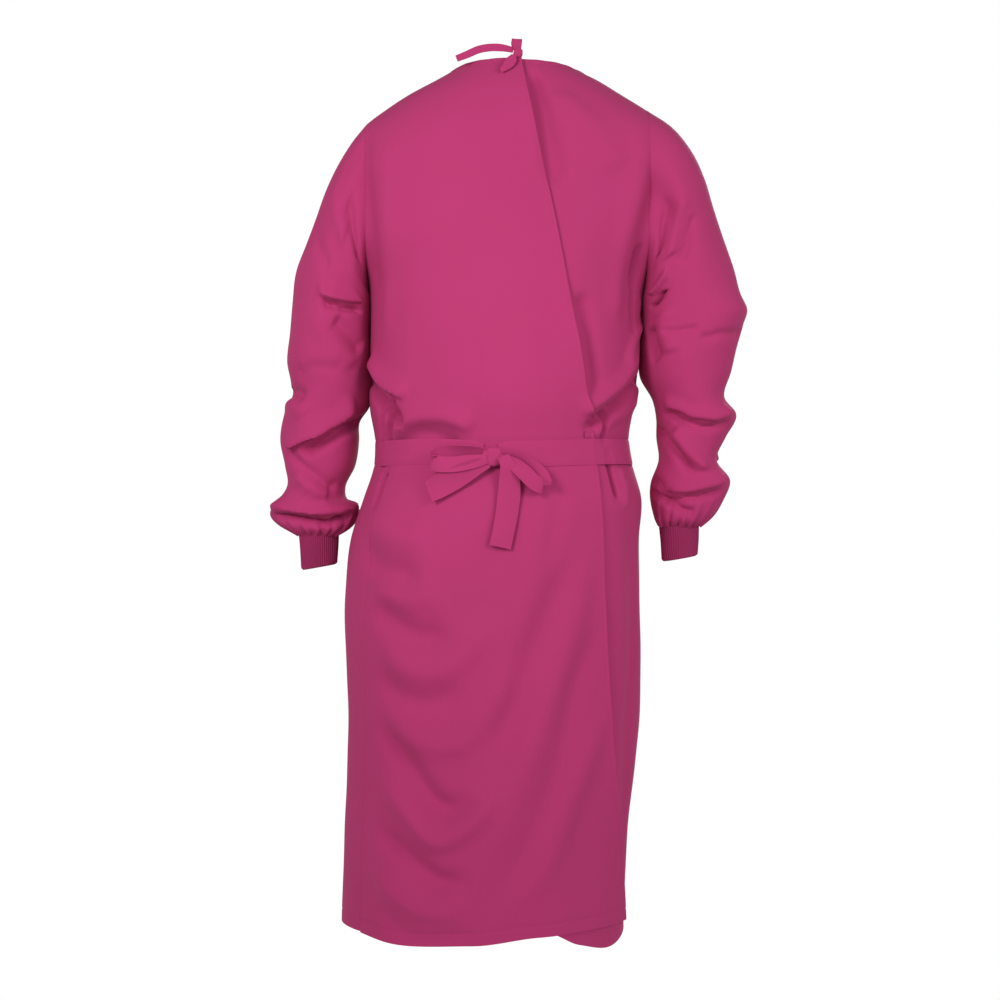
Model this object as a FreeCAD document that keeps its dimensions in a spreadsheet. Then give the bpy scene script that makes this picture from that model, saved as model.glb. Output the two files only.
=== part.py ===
import FreeCAD, Part
import os

# A long-sleeved patient gown that wraps over at the back and ties at the neck and waist.
# Frame: +Z up, the wearer faces +Y, the wearer's left side is -X. The origin is the centre of
# the neck opening at the height of the back of the neck. Lengths are millimetres.
# "Outer back" is the left back panel, which laps over the "under back", the right one.

DOC = FreeCAD.newDocument("patient_gown")
SHEET = DOC.addObject("Spreadsheet::Sheet", "Dims")

# Cross-sections of the worn gown from the collar down: level, half width, half depth,
# sideways shift of the centre, and x of the outer back panel's free edge.
STATIONS = {
    "collar": (0, 68, 58, 0, 4),
    "neckline": (-20, 88, 75, 0, 8),
    "slope": (-55, 150, 97, 0, 13),
    "shoulder": (-80, 192, 107, 0, 18),
    "yoke": (-115, 226, 116, -2, 25),
    "chest": (-190, 238, 125, -6, 41),
    "underarm": (-250, 222, 129, -10, 54),
    "armpit": (-310, 189, 131, -14, 65),
    "ribs": (-345, 184, 132, -16, 71),
    "blouse": (-470, 181, 138, -19, 93),
    "belt_top": (-523, 174, 131, -19, 103),
    "belt_base": (-557, 174, 131, -19, 107),
    "hip": (-605, 191, 145, -18, 111),
    "thigh": (-735, 202, 157, -32, 116),
    "knee": (-905, 199, 163, -32, 125),
    "calf": (-1060, 193, 165, -43, 136),
    "bottom": (-1182, 194, 165, -45, 143),
}
STATION_KEYS = ("level", "wide", "deep", "shift", "edge")

# Sleeves from the shoulder down: level, innermost x, outermost x and half depth of each level
# section. Above the armpit a section runs on inside the body, where the armhole trims it.
LEFT_SLEEVE = {
    "crown": (-99, -197, -213, 16),
    "cap": (-110, -186, -224, 34),
    "shoulder": (-125, -174, -236, 45),
    "deltoid": (-150, -161, -249, 54),
    "chest": (-190, -153, -263, 61),
    "scye": (-220, -162, -276, 62),
    "scye_low": (-250, -181, -289, 58),
    "underarm": (-280, -196, -298, 52),
    "armpit": (-312, -207, -304, 50),
    "upper_arm": (-345, -208, -307, 51),
    "biceps": (-400, -210, -313, 52),
    "elbow": (-500, -213, -319, 54),
    "forearm": (-560, -217, -319, 52),
    "wrist": (-612, -229, -326, 49),
    "puff": (-636, -227, -325, 50),
}
RIGHT_SLEEVE = {
    "crown": (-84, 172, 192, 18),
    "cap": (-95, 154, 210, 36),
    "shoulder": (-114, 133, 231, 52),
    "deltoid": (-150, 132, 248, 62),
    "chest": (-190, 145, 263, 64),
    "scye": (-220, 153, 275, 64),
    "scye_low": (-250, 160, 284, 64),
    "underarm": (-280, 169, 293, 62),
    "armpit": (-300, 183, 300, 60),
    "upper_arm": (-340, 182, 311, 66),
    "biceps": (-390, 178, 304, 64),
    "elbow": (-480, 188, 295, 54),
    "forearm": (-550, 194, 281, 44),
    "wrist": (-600, 183, 283, 51),
    "puff": (-626, 186, 272, 44),
}
SLEEVE_KEYS = ("level", "inner", "outer", "deep")

DRIVING = {
    "cloth": 1.2,
    "lap_gap": 0.8,
    "seam_angle": 210,
    "binding_high": 9,
    "binding_proud": 0.6,
    "neck_tilt": 10,
    "underlap_top": -12,
    "underlap_base": -125,
    "armhole_base": -312,
    "left_armhole": -203,
    "right_armhole": 180,
    "seam_clear": 2,
    "sleeve_forward": 30,
    "gather_proud": 1,
    "gather_clear": 0.3,
    "cuff_outer": 26.5,
    "cuff_knit": 2,
    "cuff_long": 48,
    "left_wrist_x": -273,
    "right_wrist_x": 227,
    "left_cuff_top": -652,
    "right_cuff_top": -640,
    "band_end_angle": 265,
    "tie_wide": 28,
    "tie_thick": 1.6,
    "knot_x": -30,
    "knot_level": -552,
    "knot_long": 26,
    "knot_high": 22,
    "knot_deep": 14,
    "loop_thick": 13,
    "loop_long": 64,
    "left_tail_long": 78,
    "right_tail_long": 128,
    "neck_tie_wide": 10.5,
    "neck_tie_thick": 1.2,
    "neck_knot_x": 3,
    "neck_knot_level": -10,
    "neck_knot_behind": 18,
    "neck_knot_long": 12,
    "neck_loop_long": 16,
    "neck_loop_thick": 9,
    "long_tail_long": 76,
    "short_tail_long": 34,
    "left_tack_x": -179,
    "left_tack_level": -575,
    "right_tack_x": 136,
    "right_tack_level": -583,
    "tack_wide": 2,
    "tack_long": 9,
    "patch_thick": 1,
    "tab_x": 96,
    "tab_level": -514,
    "tab_wide": 13,
    "tab_high": 9,
}

TORSO = list(STATIONS)
LAP_RISE = [1] + [0] * (len(TORSO) - 2) + [-1]
X_AXIS = FreeCAD.Vector(1, 0, 0)
Y_AXIS = FreeCAD.Vector(0, 1, 0)
Z_AXIS = FreeCAD.Vector(0, 0, 1)


def fill_sheet():
    """Write every driving dimension into the spreadsheet under its own alias."""
    values = dict(DRIVING)
    for name, row in STATIONS.items():
        values.update({f"{name}_{key}": value for key, value in zip(STATION_KEYS, row)})
    for side, table in (("left", LEFT_SLEEVE), ("right", RIGHT_SLEEVE)):
        for name, row in table.items():
            values.update({f"{side}_{name}_{key}": value for key, value in zip(SLEEVE_KEYS, row)})
    for row, (alias, value) in enumerate(values.items(), start=1):
        SHEET.set(f"A{row}", alias)
        SHEET.set(f"B{row}", str(value))
        SHEET.setAlias(f"B{row}", alias)
    DOC.recompute()


def add(kind, label, **expressions):
    """Add an object and bind its properties; a double underscore stands for a dot."""
    item = DOC.addObject(kind, label)
    for name, expression in expressions.items():
        item.setExpression(name.replace("__", "."), expression)
    return item


def cut(label, base, tool):
    item = DOC.addObject("Part::Cut", label)
    item.Base = base
    item.Tool = tool
    return item


def loft(label, sections):
    item = DOC.addObject("Part::Loft", label)
    item.Sections = sections
    item.Solid = True
    item.Ruled = True
    return item


def strip_between(outer, inner):
    strip = DOC.addObject("Part::RuledSurface", "strip")
    strip.Orientation = "Forward"
    strip.Curve1 = (outer, ["Edge1"])
    strip.Curve2 = (inner, ["Edge1"])
    return strip


# ---------------------------------------------------------------- body of the gown

def body_curve(station, inset, first="0 deg", last="360 deg"):
    """Part of the elliptical cross-section at a station, inset from the outer cloth."""
    curve = add(
        "Part::Ellipse", "curve",
        MajorRadius=f"Dims.{station}_wide - ({inset})",
        MinorRadius=f"Dims.{station}_deep - ({inset})",
        Placement__Base__x=f"Dims.{station}_shift",
        Placement__Base__z=f"Dims.{station}_level",
    )
    curve.setExpression("Angle1", first)
    curve.setExpression("Angle2", last)
    return curve


def cloth_strip(station, inset, first, last, thick):
    """A flat strip between two faces of a cloth layer at one station."""
    outer = body_curve(station, inset, first, last)
    inner = body_curve(station, f"{inset} + {thick}", first, last)
    return strip_between(outer, inner)


def side_plane(x, level):
    """A level rectangle behind the body, from a given x towards +X."""
    plane = add("Part::Plane", "side_plane", Placement__Base__x=x, Placement__Base__z=level)
    plane.Length = 400
    plane.Width = 300
    plane.setExpression("Placement.Base.y", "-300")
    return plane


def lap_cutter():
    """Everything beyond the outer back panel's free edge."""
    return loft("beyond_lap_edge", [side_plane(f"Dims.{name}_edge", f"Dims.{name}_level + {rise}")
                                    for name, rise in zip(TORSO, LAP_RISE)])


def underlap_cutter():
    """Everything beyond the under back panel's hidden edge."""
    return loft("beyond_hidden_edge", [
        side_plane("Dims.underlap_top - 400", "1"),
        side_plane("Dims.underlap_base - 400", "Dims.bottom_level - 1"),
    ])


def neck_cutter():
    """The space above the tilted neckline, lowered by the height of the binding."""
    box = DOC.addObject("Part::Box", "above_neckline")
    box.Length = box.Width = 600
    box.Height = 200
    box.setExpression("Placement.Base.x", "-300")
    lift = "Dims.neckline_level - Dims.binding_high"
    box.setExpression("Placement.Base.z", f"{lift} + 300 * sin(Dims.neck_tilt * 1 deg)")
    box.setExpression("Placement.Base.y", "-300 * cos(Dims.neck_tilt * 1 deg)")
    box.setExpression("Placement.Rotation.Angle", "-Dims.neck_tilt * 1 deg")
    box.Placement.Rotation.Axis = FreeCAD.Vector(1, 0, 0)
    return box


def armhole_cutter(side):
    """Everything outside one armhole seam and above the armpit."""
    box = DOC.addObject("Part::Box", f"{side}_armhole")
    box.Length = 200
    box.Width = 600
    box.Height = 400
    start = "Dims.left_armhole - 200" if side == "left" else "Dims.right_armhole"
    box.setExpression("Placement.Base.x", start)
    box.setExpression("Placement.Base.y", "-300")
    box.setExpression("Placement.Base.z", "Dims.armhole_base")
    return box


def panel(label, inset, first, last, cutters):
    """A body panel between two angles, less the neck opening, an armhole and so on."""
    shape = loft(f"{label}_blank",
                 [cloth_strip(name, inset, first, last, "Dims.cloth") for name in TORSO])
    for cutter in cutters[:-1]:
        shape = cut(f"{label}_trim", shape, cutter)
    return cut(label, shape, cutters[-1])


def neck_binding():
    """A tape ring on the neck edge, split beside the outer back panel's free edge."""
    stations = ["collar", "neckline", "slope", "shoulder"]
    outer = loft("binding_outer", [body_curve(name, "-Dims.binding_proud") for name in stations])
    bore = "Dims.cloth + Dims.binding_proud"
    inner = loft("binding_inner", [body_curve(name, bore) for name in stations])
    ring = cut("binding_ring", outer, inner)
    slab = DOC.addObject("Part::Box", "binding_slab")
    slab.Length = slab.Width = 600
    slab.setExpression("Height", "Dims.binding_high - 0.3")
    slab.Placement.Rotation.Axis = FreeCAD.Vector(1, 0, 0)
    slab.setExpression("Placement.Rotation.Angle", "-Dims.neck_tilt * 1 deg")
    low = "Dims.neckline_level - Dims.binding_high + 0.3"
    slab.setExpression("Placement.Base.x", "-300")
    slab.setExpression("Placement.Base.y", "-300 * cos(Dims.neck_tilt * 1 deg)")
    slab.setExpression("Placement.Base.z", f"{low} + 300 * sin(Dims.neck_tilt * 1 deg)")
    band = DOC.addObject("Part::Common", "binding_band")
    band.Base = ring
    band.Tool = slab
    slot = add("Part::Box", "binding_split", Placement__Base__x="Dims.collar_edge + 0.5",
               Placement__Base__y="-150", Placement__Base__z="-60")
    slot.Length = 1
    slot.Width = 130
    slot.Height = 100
    return cut("neck_binding", band, slot)


# ---------------------------------------------------------------- sleeves and cuffs

def sleeve_curve(inset, across, deep, x, y, z):
    """One level section of a sleeve, with its longer half width from front to back."""
    curve = add(
        "Part::Ellipse", "curve",
        MajorRadius=f"{deep} - {inset}",
        MinorRadius=f"{across} - {inset}",
        Placement__Base__x=x,
        Placement__Base__y=y,
        Placement__Base__z=z,
    )
    curve.Placement.Rotation = FreeCAD.Rotation(Z_AXIS, 90)
    return curve


def arm_curve(side, name, inset):
    """A sleeve section, carried forward below the armpit; the crown's inner one is lower."""
    key = f"Dims.{side}_{name}"
    level = f"{key}_level - {inset}" if name == "crown" else f"{key}_level"
    across = f"abs({key}_outer - {key}_inner) / 2"
    x = f"({key}_outer + {key}_inner) / 2"
    drop = f"({key}_level - Dims.armhole_base) / (Dims.{side}_cuff_top - Dims.armhole_base)"
    y = f"Dims.sleeve_forward * max(0; {drop})"
    return sleeve_curve(inset, across, f"{key}_deep", x, y, level)


def gather_curve(side, inset):
    """The sleeve's lower end, gathered to the cuff."""
    radius = "Dims.cuff_outer + Dims.gather_proud"
    return sleeve_curve(inset, radius, radius, f"Dims.{side}_wrist_x",
                        "Dims.sleeve_forward", f"Dims.{side}_cuff_top + Dims.gather_clear")


def sleeve(side):
    """A set-in sleeve: a tube trimmed flat beside the armhole and open at the wrist."""
    table = LEFT_SLEEVE if side == "left" else RIGHT_SLEEVE
    forms = []
    for inset in ("0", "Dims.cloth"):
        curves = [arm_curve(side, name, inset) for name in table]
        forms.append(loft(f"{side}_sleeve_form", curves + [gather_curve(side, inset)]))
    body = DOC.addObject("Part::Box", f"{side}_body_side")
    body.Length = 200
    body.Width = 300
    body.Height = 400
    seam = "Dims.left_armhole - Dims.seam_clear"
    if side == "right":
        seam = "Dims.right_armhole + Dims.seam_clear - 200"
    body.setExpression("Placement.Base.x", seam)
    body.setExpression("Placement.Base.y", "-150")
    body.setExpression("Placement.Base.z", "Dims.armhole_base + 5")
    return cut(f"{side}_sleeve", cut(f"{side}_sleeve_tube", *forms), body)


def cuff(side):
    """A knitted tube at the wrist."""
    tubes = []
    for radius in ("Dims.cuff_outer", "Dims.cuff_outer - Dims.cuff_knit"):
        tubes.append(add(
            "Part::Cylinder", f"{side}_cuff_form",
            Radius=radius,
            Height="Dims.cuff_long",
            Placement__Base__x=f"Dims.{side}_wrist_x",
            Placement__Base__y="Dims.sleeve_forward",
            Placement__Base__z=f"Dims.{side}_cuff_top - Dims.cuff_long",
        ))
    return cut(f"{side}_cuff", *tubes)


# ---------------------------------------------------------------- waist ties and bow

def waist_band(label, first, last):
    """A stretch of waist tie lying on the cloth between two angles."""
    inset = "-Dims.lap_gap - Dims.tie_thick"
    strips = [cloth_strip(station, inset, first, last, "Dims.tie_thick")
              for station in ("belt_top", "belt_base")]
    return loft(label, strips)


def droop(outwards, lean, swing):
    """Turn +X to point sideways, leaning down by one angle and off the waist by another."""
    flip = FreeCAD.Rotation(Z_AXIS, 0 if outwards > 0 else 180)
    down = FreeCAD.Rotation(Y_AXIS, outwards * lean)
    away = FreeCAD.Rotation(Z_AXIS, outwards * swing)
    return away * down * flip


def hang(item, turn, anchor, offset):
    """Turn an object and move its local point -offset onto an anchor point."""
    item.Placement.Rotation = turn
    columns = [turn.multVec(axis) for axis in (X_AXIS, Y_AXIS, Z_AXIS)]
    for axis, start in zip("xyz", anchor):
        steps = [f"{getattr(column, axis):.5f} * ({length})"
                 for column, length in zip(columns, offset)]
        item.setExpression(f"Placement.Base.{axis}", " + ".join([start] + steps))
    return item


def strap(label, size, turn, anchor):
    """A flat strip that starts at the anchor, in the middle of its end, and runs along +X."""
    length, thick, wide = size
    strip = add("Part::Box", label, Length=length, Width=thick, Height=wide)
    return hang(strip, turn, anchor, ("0", f"-({thick}) / 2", f"-({wide}) / 2"))


def bow_loop(label, length, wide, thick, cloth, turn, anchor):
    """A hollow loop of tie that starts at the anchor and runs along +X."""
    forms = []
    for inset in ("0", cloth):
        ring = add("Part::Ellipse", "loop_curve", MajorRadius=f"{length} / 2 - {inset}",
                   MinorRadius=f"{thick} / 2 - {inset}")
        form = DOC.addObject("Part::Extrusion", "loop_form")
        form.Base = ring
        form.DirMode = "Custom"
        form.Dir = Z_AXIS
        form.setExpression("LengthFwd", wide)
        form.Solid = True
        forms.append(form)
    return hang(cut(label, *forms), turn, anchor, (f"{length} / 2", "0", f"-({wide}) / 2"))


def rounded_block(label, size, anchor, radius):
    """A block with every edge rounded, centred on the anchor."""
    length, thick, high = size
    block = add("Part::Box", f"{label}_block", Length=length, Width=thick, Height=high)
    hang(block, FreeCAD.Rotation(), anchor, (f"-({length}) / 2", f"-({thick}) / 2", f"-({high}) / 2"))
    DOC.recompute()
    soft = DOC.addObject("Part::Fillet", label)
    soft.Base = block
    soft.Edges = [(index, radius, radius) for index in range(1, 13)]
    return soft


def right_waist_band():
    """The right band, in two stretches that meet at the side of the waist."""
    band = DOC.addObject("Part::Fuse", "right_waist_band")
    band.Base = waist_band("right_band_back", "Dims.band_end_angle * 1 deg + 2 deg", "360 deg")
    band.Tool = waist_band("right_band_front", "0 deg", "89 deg")
    return band


def waist_bow():
    """The knot, two loops and two tails of the waist tie, all behind the waist bands."""
    skin = "(-Dims.belt_top_deep - Dims.lap_gap - Dims.tie_thick)"
    middle = f"{skin} - 0.5 - Dims.knot_deep / 2"
    left = "Dims.knot_x - Dims.knot_long / 2 - 0.6"
    right = "Dims.knot_x + Dims.knot_long / 2 + 0.6"
    rounded_block("waist_knot", ("Dims.knot_long", "Dims.knot_deep", "Dims.knot_high"),
                  ("Dims.knot_x", middle, "Dims.knot_level"), 4)
    loop = ("Dims.loop_long", "Dims.tie_wide", "Dims.loop_thick", "Dims.tie_thick")
    bow_loop("waist_left_loop", *loop, droop(-1, 3, 8),
             (f"{left} - 1", f"{middle} - 1", "Dims.knot_level + 1"))
    bow_loop("waist_right_loop", *loop, droop(1, 38, -12),
             (f"{right} + 9", middle, "Dims.knot_level + 3"))
    tail = ("Dims.tie_thick", "Dims.tie_wide")
    strap("waist_left_tail", ("Dims.left_tail_long", *tail), droop(-1, 29, 8),
          (left, f"{middle} - 10.5", "Dims.knot_level - 14"))
    hanging = FreeCAD.Rotation(Z_AXIS, -90) * FreeCAD.Rotation(Y_AXIS, 82)
    strap("waist_right_tail", ("Dims.right_tail_long", *tail), hanging * FreeCAD.Rotation(X_AXIS, 90),
          ("Dims.knot_x + 18", f"{middle} - 9.5", "Dims.knot_level - 4"))


def neck_ties():
    """The small tie at the back of the neck: knot, standing loop and two tails."""
    thick = "Dims.neck_tie_thick"
    wide = "Dims.neck_tie_wide"
    back = "-Dims.collar_deep - Dims.neck_knot_behind"
    rounded_block("neck_knot", ("Dims.neck_knot_long", "7", "Dims.neck_knot_long - 1"),
                  ("Dims.neck_knot_x", back, "Dims.neck_knot_level"), 2)
    upright = FreeCAD.Rotation(Y_AXIS, -90)
    bow_loop("neck_loop", "Dims.neck_loop_long", wide, "Dims.neck_loop_thick", thick, upright,
             ("Dims.neck_knot_x + 1", back, "Dims.neck_knot_level + Dims.neck_knot_long / 2"))
    side = "Dims.neck_knot_x - Dims.neck_knot_long / 2 - 1.2"
    strap("neck_long_tail", ("Dims.long_tail_long", thick, wide), droop(-1, 8, 2),
          (side, f"{back} - 1", "Dims.neck_knot_level + 2"))
    strap("neck_short_tail", ("Dims.short_tail_long", thick, wide), droop(-1, 48, -42),
          (side, f"{back} - 7", "Dims.neck_knot_level - 9"))


# ---------------------------------------------------------------- sewn details

def skin_y(x, upper, lower, level):
    """y of the outer cloth at the back, between two stations, as an expression."""
    span = f"(Dims.{lower}_level - Dims.{upper}_level)"
    share = f"(({level}) - Dims.{upper}_level) / {span}"

    def between(key):
        return f"(Dims.{upper}_{key} + (Dims.{lower}_{key} - Dims.{upper}_{key}) * {share})"

    across = f"(({x}) - {between('shift')}) / {between('wide')}"
    return f"-{between('deep')} * sqrt(1 - ({across}) ^ 2)"


def skin_patch(label, size, x, level, stations, turn):
    """A thin sewn patch on the outer cloth of the back, turned to lie along it."""
    wide, high = size
    patch = add("Part::Box", label, Length=wide, Width="Dims.patch_thick", Height=high)
    skin = skin_y(x, *stations, level)
    return hang(patch, FreeCAD.Rotation(Z_AXIS, turn), (x, skin, level),
                (f"-({wide}) / 2", "-Dims.patch_thick - 1.8", f"-({high}) / 2"))


def sewn_details():
    """The tab on the lap edge above the band and the bar tacks that end the tie slots."""
    tack = ("Dims.tack_wide", "Dims.tack_long")
    for side, turn in (("left", -56), ("right", 52)):
        skin_patch(f"{side}_slot_tack", tack, f"Dims.{side}_tack_x", f"Dims.{side}_tack_level",
                   ("belt_base", "hip"), turn)
    skin_patch("lap_edge_tab", ("Dims.tab_wide", "Dims.tab_high"), "Dims.tab_x", "Dims.tab_level",
               ("blouse", "belt_top"), 36)


def build():
    fill_sheet()
    neckline = neck_cutter()
    left_hole = armhole_cutter("left")
    right_hole = armhole_cutter("right")
    seam = "Dims.seam_angle * 1 deg"
    under = "Dims.cloth + Dims.lap_gap"
    panel("front_panel", "0", "0.5 deg", f"{seam} - 0.2 deg", (neckline, left_hole, right_hole))
    panel("left_back_panel", "0", seam, "359.5 deg", (neckline, left_hole, lap_cutter()))
    panel("right_back_panel", under, seam, "359.9 deg", (neckline, right_hole, underlap_cutter()))
    neck_binding()
    for side in ("left", "right"):
        sleeve(side)
        cuff(side)
    waist_band("left_waist_band", "91 deg", "Dims.band_end_angle * 1 deg")
    right_waist_band()
    waist_bow()
    neck_ties()
    sewn_details()
    DOC.recompute()


NODES = (
    "front_panel", "left_back_panel", "right_back_panel", "neck_binding",
    "left_sleeve", "right_sleeve", "left_cuff", "right_cuff",
    "left_waist_band", "right_waist_band", "waist_knot", "waist_left_loop",
    "waist_right_loop", "waist_left_tail", "waist_right_tail",
    "neck_knot", "neck_loop", "neck_long_tail", "neck_short_tail",
    "left_slot_tack", "right_slot_tack", "lap_edge_tab",
)


def check():
    """Stop if any object failed, or if a piece is empty, broken or inside out."""
    failed = [item.Label for item in DOC.Objects if {"Invalid", "Error"} & set(item.State)]
    if failed:
        raise RuntimeError(f"failed objects: {failed}")
    for name in NODES:
        shape = DOC.getObjectsByLabel(name)[0].Shape
        if shape.isNull() or not shape.isValid() or shape.Volume <= 0:
            raise RuntimeError(f"bad shape: {name}")


def export():
    """Write one STEP file for each piece."""
    os.makedirs("parts", exist_ok=True)
    for name in NODES:
        DOC.getObjectsByLabel(name)[0].Shape.exportStep(f"parts/{name}.step")


build()
check()
export()
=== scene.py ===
"""A long-sleeved cloth gown that wraps over at the back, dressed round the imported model.

Lengths are in metres. +Z is up, the wearer faces +Y and the wearer's left is -X. On the body,
an angle of 0 degrees is the middle of the back and 90 is the wearer's right side.
"""
import math

import bmesh
import bpy
import numpy as np
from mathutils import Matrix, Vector


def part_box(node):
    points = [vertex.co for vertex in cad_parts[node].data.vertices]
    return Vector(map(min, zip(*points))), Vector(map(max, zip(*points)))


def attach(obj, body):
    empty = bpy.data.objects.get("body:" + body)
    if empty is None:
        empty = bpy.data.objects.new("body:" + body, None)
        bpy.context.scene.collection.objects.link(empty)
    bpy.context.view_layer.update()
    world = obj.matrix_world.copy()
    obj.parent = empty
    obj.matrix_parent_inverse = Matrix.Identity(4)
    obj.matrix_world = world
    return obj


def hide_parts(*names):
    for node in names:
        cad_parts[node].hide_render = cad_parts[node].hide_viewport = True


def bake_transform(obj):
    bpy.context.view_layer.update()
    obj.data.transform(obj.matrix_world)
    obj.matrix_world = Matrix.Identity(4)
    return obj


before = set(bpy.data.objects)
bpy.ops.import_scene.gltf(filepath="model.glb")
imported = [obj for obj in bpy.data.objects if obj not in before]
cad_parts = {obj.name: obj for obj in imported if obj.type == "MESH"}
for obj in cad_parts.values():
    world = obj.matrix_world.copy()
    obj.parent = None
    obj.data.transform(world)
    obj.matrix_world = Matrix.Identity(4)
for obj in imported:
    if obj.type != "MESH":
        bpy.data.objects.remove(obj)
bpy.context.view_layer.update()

MM = 0.001
UP = np.array([0.0, 0.0, 1.0])
BACK, FRONT = 0, 1
UPRIGHT = (1, 0)

# ---------------------------------------------------------------- the body's shape
# level, left side, right side, depth behind, depth in front
BODY = (
    (0.000, -0.068, 0.068, 0.060, 0.058),
    (-0.016, -0.078, 0.080, 0.074, 0.070),
    (-0.033, -0.106, 0.113, 0.085, 0.083),
    (-0.055, -0.146, 0.149, 0.097, 0.096),
    (-0.077, -0.179, 0.185, 0.106, 0.105),
    (-0.099, -0.208, 0.218, 0.113, 0.112),
    (-0.141, -0.242, 0.245, 0.120, 0.120),
    (-0.190, -0.242, 0.232, 0.125, 0.126),
    (-0.250, -0.230, 0.211, 0.129, 0.129),
    (-0.310, -0.203, 0.179, 0.131, 0.130),
    (-0.345, -0.200, 0.172, 0.132, 0.131),
    (-0.420, -0.200, 0.169, 0.136, 0.134),
    (-0.480, -0.200, 0.162, 0.138, 0.136),
    (-0.526, -0.192, 0.156, 0.132, 0.130),
    (-0.558, -0.193, 0.161, 0.132, 0.131),
    (-0.605, -0.207, 0.174, 0.145, 0.142),
    (-0.660, -0.223, 0.172, 0.152, 0.149),
    (-0.735, -0.230, 0.173, 0.157, 0.155),
    (-0.905, -0.227, 0.170, 0.162, 0.160),
    (-1.060, -0.232, 0.154, 0.165, 0.163),
    (-1.182, -0.236, 0.149, 0.166, 0.164),
)
# level and place across of the outer back panel's free edge
LAP_EDGE = (
    (0.000, 0.005), (-0.050, 0.012), (-0.115, 0.025), (-0.190, 0.041), (-0.250, 0.054),
    (-0.310, 0.065), (-0.345, 0.071), (-0.470, 0.093), (-0.523, 0.102), (-0.557, 0.107),
    (-0.605, 0.111), (-0.735, 0.116), (-0.905, 0.125), (-1.060, 0.136), (-1.182, 0.143),
)
HIDDEN_EDGE_TOP = -0.012
HIDDEN_EDGE_BASE = -0.125
NECK_LEVEL = -0.018
NECK_FALL = 0.045
HEM_LEVEL = -1.180
HEM_HIGH = 0.016
LEFT_SEAM = -60.0
RIGHT_SEAM = 90.0
PATTERN_RADIUS = 0.175
BODY_MIDDLE = -0.019
CLOTH = 0.7 * MM
LAYER_GAP = 2.6 * MM

BELT_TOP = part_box("left_waist_band")[1].z - 0.003
BELT_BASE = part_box("left_waist_band")[0].z - 0.003

# the plane of each armhole, and the shelf under which nothing is cut away
LEFT_ARMHOLE = -0.203
RIGHT_ARMHOLE = 0.180
ARMHOLE_FLOOR = -0.335

# ---------------------------------------------------------------- the sleeves' shape
# outer x and z, inner x and z, half depth, centre's place forward
LEFT_ARM = (
    (-0.203, -0.091, -0.2030, -0.312, 0.070, 0.000),
    (-0.225, -0.118, -0.2030, -0.318, 0.074, 0.001),
    (-0.243, -0.147, -0.2025, -0.323, 0.075, 0.002),
    (-0.257, -0.177, -0.2020, -0.328, 0.075, 0.003),
    (-0.274, -0.223, -0.1985, -0.335, 0.074, 0.005),
    (-0.287, -0.257, -0.1985, -0.343, 0.073, 0.006),
    (-0.299, -0.290, -0.1985, -0.352, 0.072, 0.007),
    (-0.305, -0.335, -0.1985, -0.368, 0.071, 0.008),
    (-0.310, -0.375, -0.1985, -0.392, 0.069, 0.010),
    (-0.314, -0.415, -0.1985, -0.422, 0.067, 0.012),
    (-0.308, -0.452, -0.1985, -0.456, 0.064, 0.015),
    (-0.312, -0.474, -0.2010, -0.478, 0.062, 0.017),
    (-0.319, -0.494, -0.2150, -0.499, 0.059, 0.019),
    (-0.323, -0.522, -0.2170, -0.524, 0.055, 0.021),
    (-0.318, -0.560, -0.2230, -0.560, 0.050, 0.024),
    (-0.316, -0.590, -0.2370, -0.590, 0.047, 0.026),
    (-0.329, -0.611, -0.2340, -0.607, 0.046, 0.028),
    (-0.338, -0.626, -0.2180, -0.620, 0.045, 0.029),
    (-0.326, -0.640, -0.2220, -0.636, 0.043, 0.030),
    (-0.310, -0.649, -0.2330, -0.647, 0.038, 0.030),
    (-0.300, -0.655, -0.2460, -0.655, 0.027, 0.030),
)
RIGHT_ARM = (
    (0.180, -0.075, 0.1800, -0.302, 0.072, 0.000),
    (0.216, -0.099, 0.1790, -0.308, 0.075, 0.001),
    (0.243, -0.133, 0.1775, -0.314, 0.076, 0.002),
    (0.258, -0.165, 0.1760, -0.320, 0.076, 0.003),
    (0.272, -0.208, 0.1745, -0.327, 0.075, 0.005),
    (0.286, -0.251, 0.1735, -0.335, 0.074, 0.006),
    (0.299, -0.290, 0.1730, -0.344, 0.072, 0.007),
    (0.309, -0.324, 0.1725, -0.357, 0.071, 0.008),
    (0.319, -0.344, 0.1723, -0.367, 0.071, 0.009),
    (0.314, -0.366, 0.1720, -0.385, 0.070, 0.010),
    (0.304, -0.400, 0.1715, -0.410, 0.068, 0.012),
    (0.297, -0.430, 0.1730, -0.438, 0.066, 0.015),
    (0.288, -0.466, 0.1900, -0.470, 0.062, 0.018),
    (0.304, -0.490, 0.1960, -0.495, 0.058, 0.021),
    (0.290, -0.520, 0.1970, -0.520, 0.054, 0.024),
    (0.279, -0.552, 0.2000, -0.552, 0.050, 0.026),
    (0.297, -0.581, 0.1900, -0.584, 0.048, 0.028),
    (0.288, -0.605, 0.1890, -0.605, 0.046, 0.029),
    (0.273, -0.628, 0.1930, -0.625, 0.043, 0.030),
    (0.262, -0.638, 0.1970, -0.637, 0.036, 0.030),
    (0.256, -0.643, 0.2000, -0.643, 0.027, 0.030),
)
ARM_PATTERN_RADIUS = 0.055
ARM_FADE = 0.13

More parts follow.
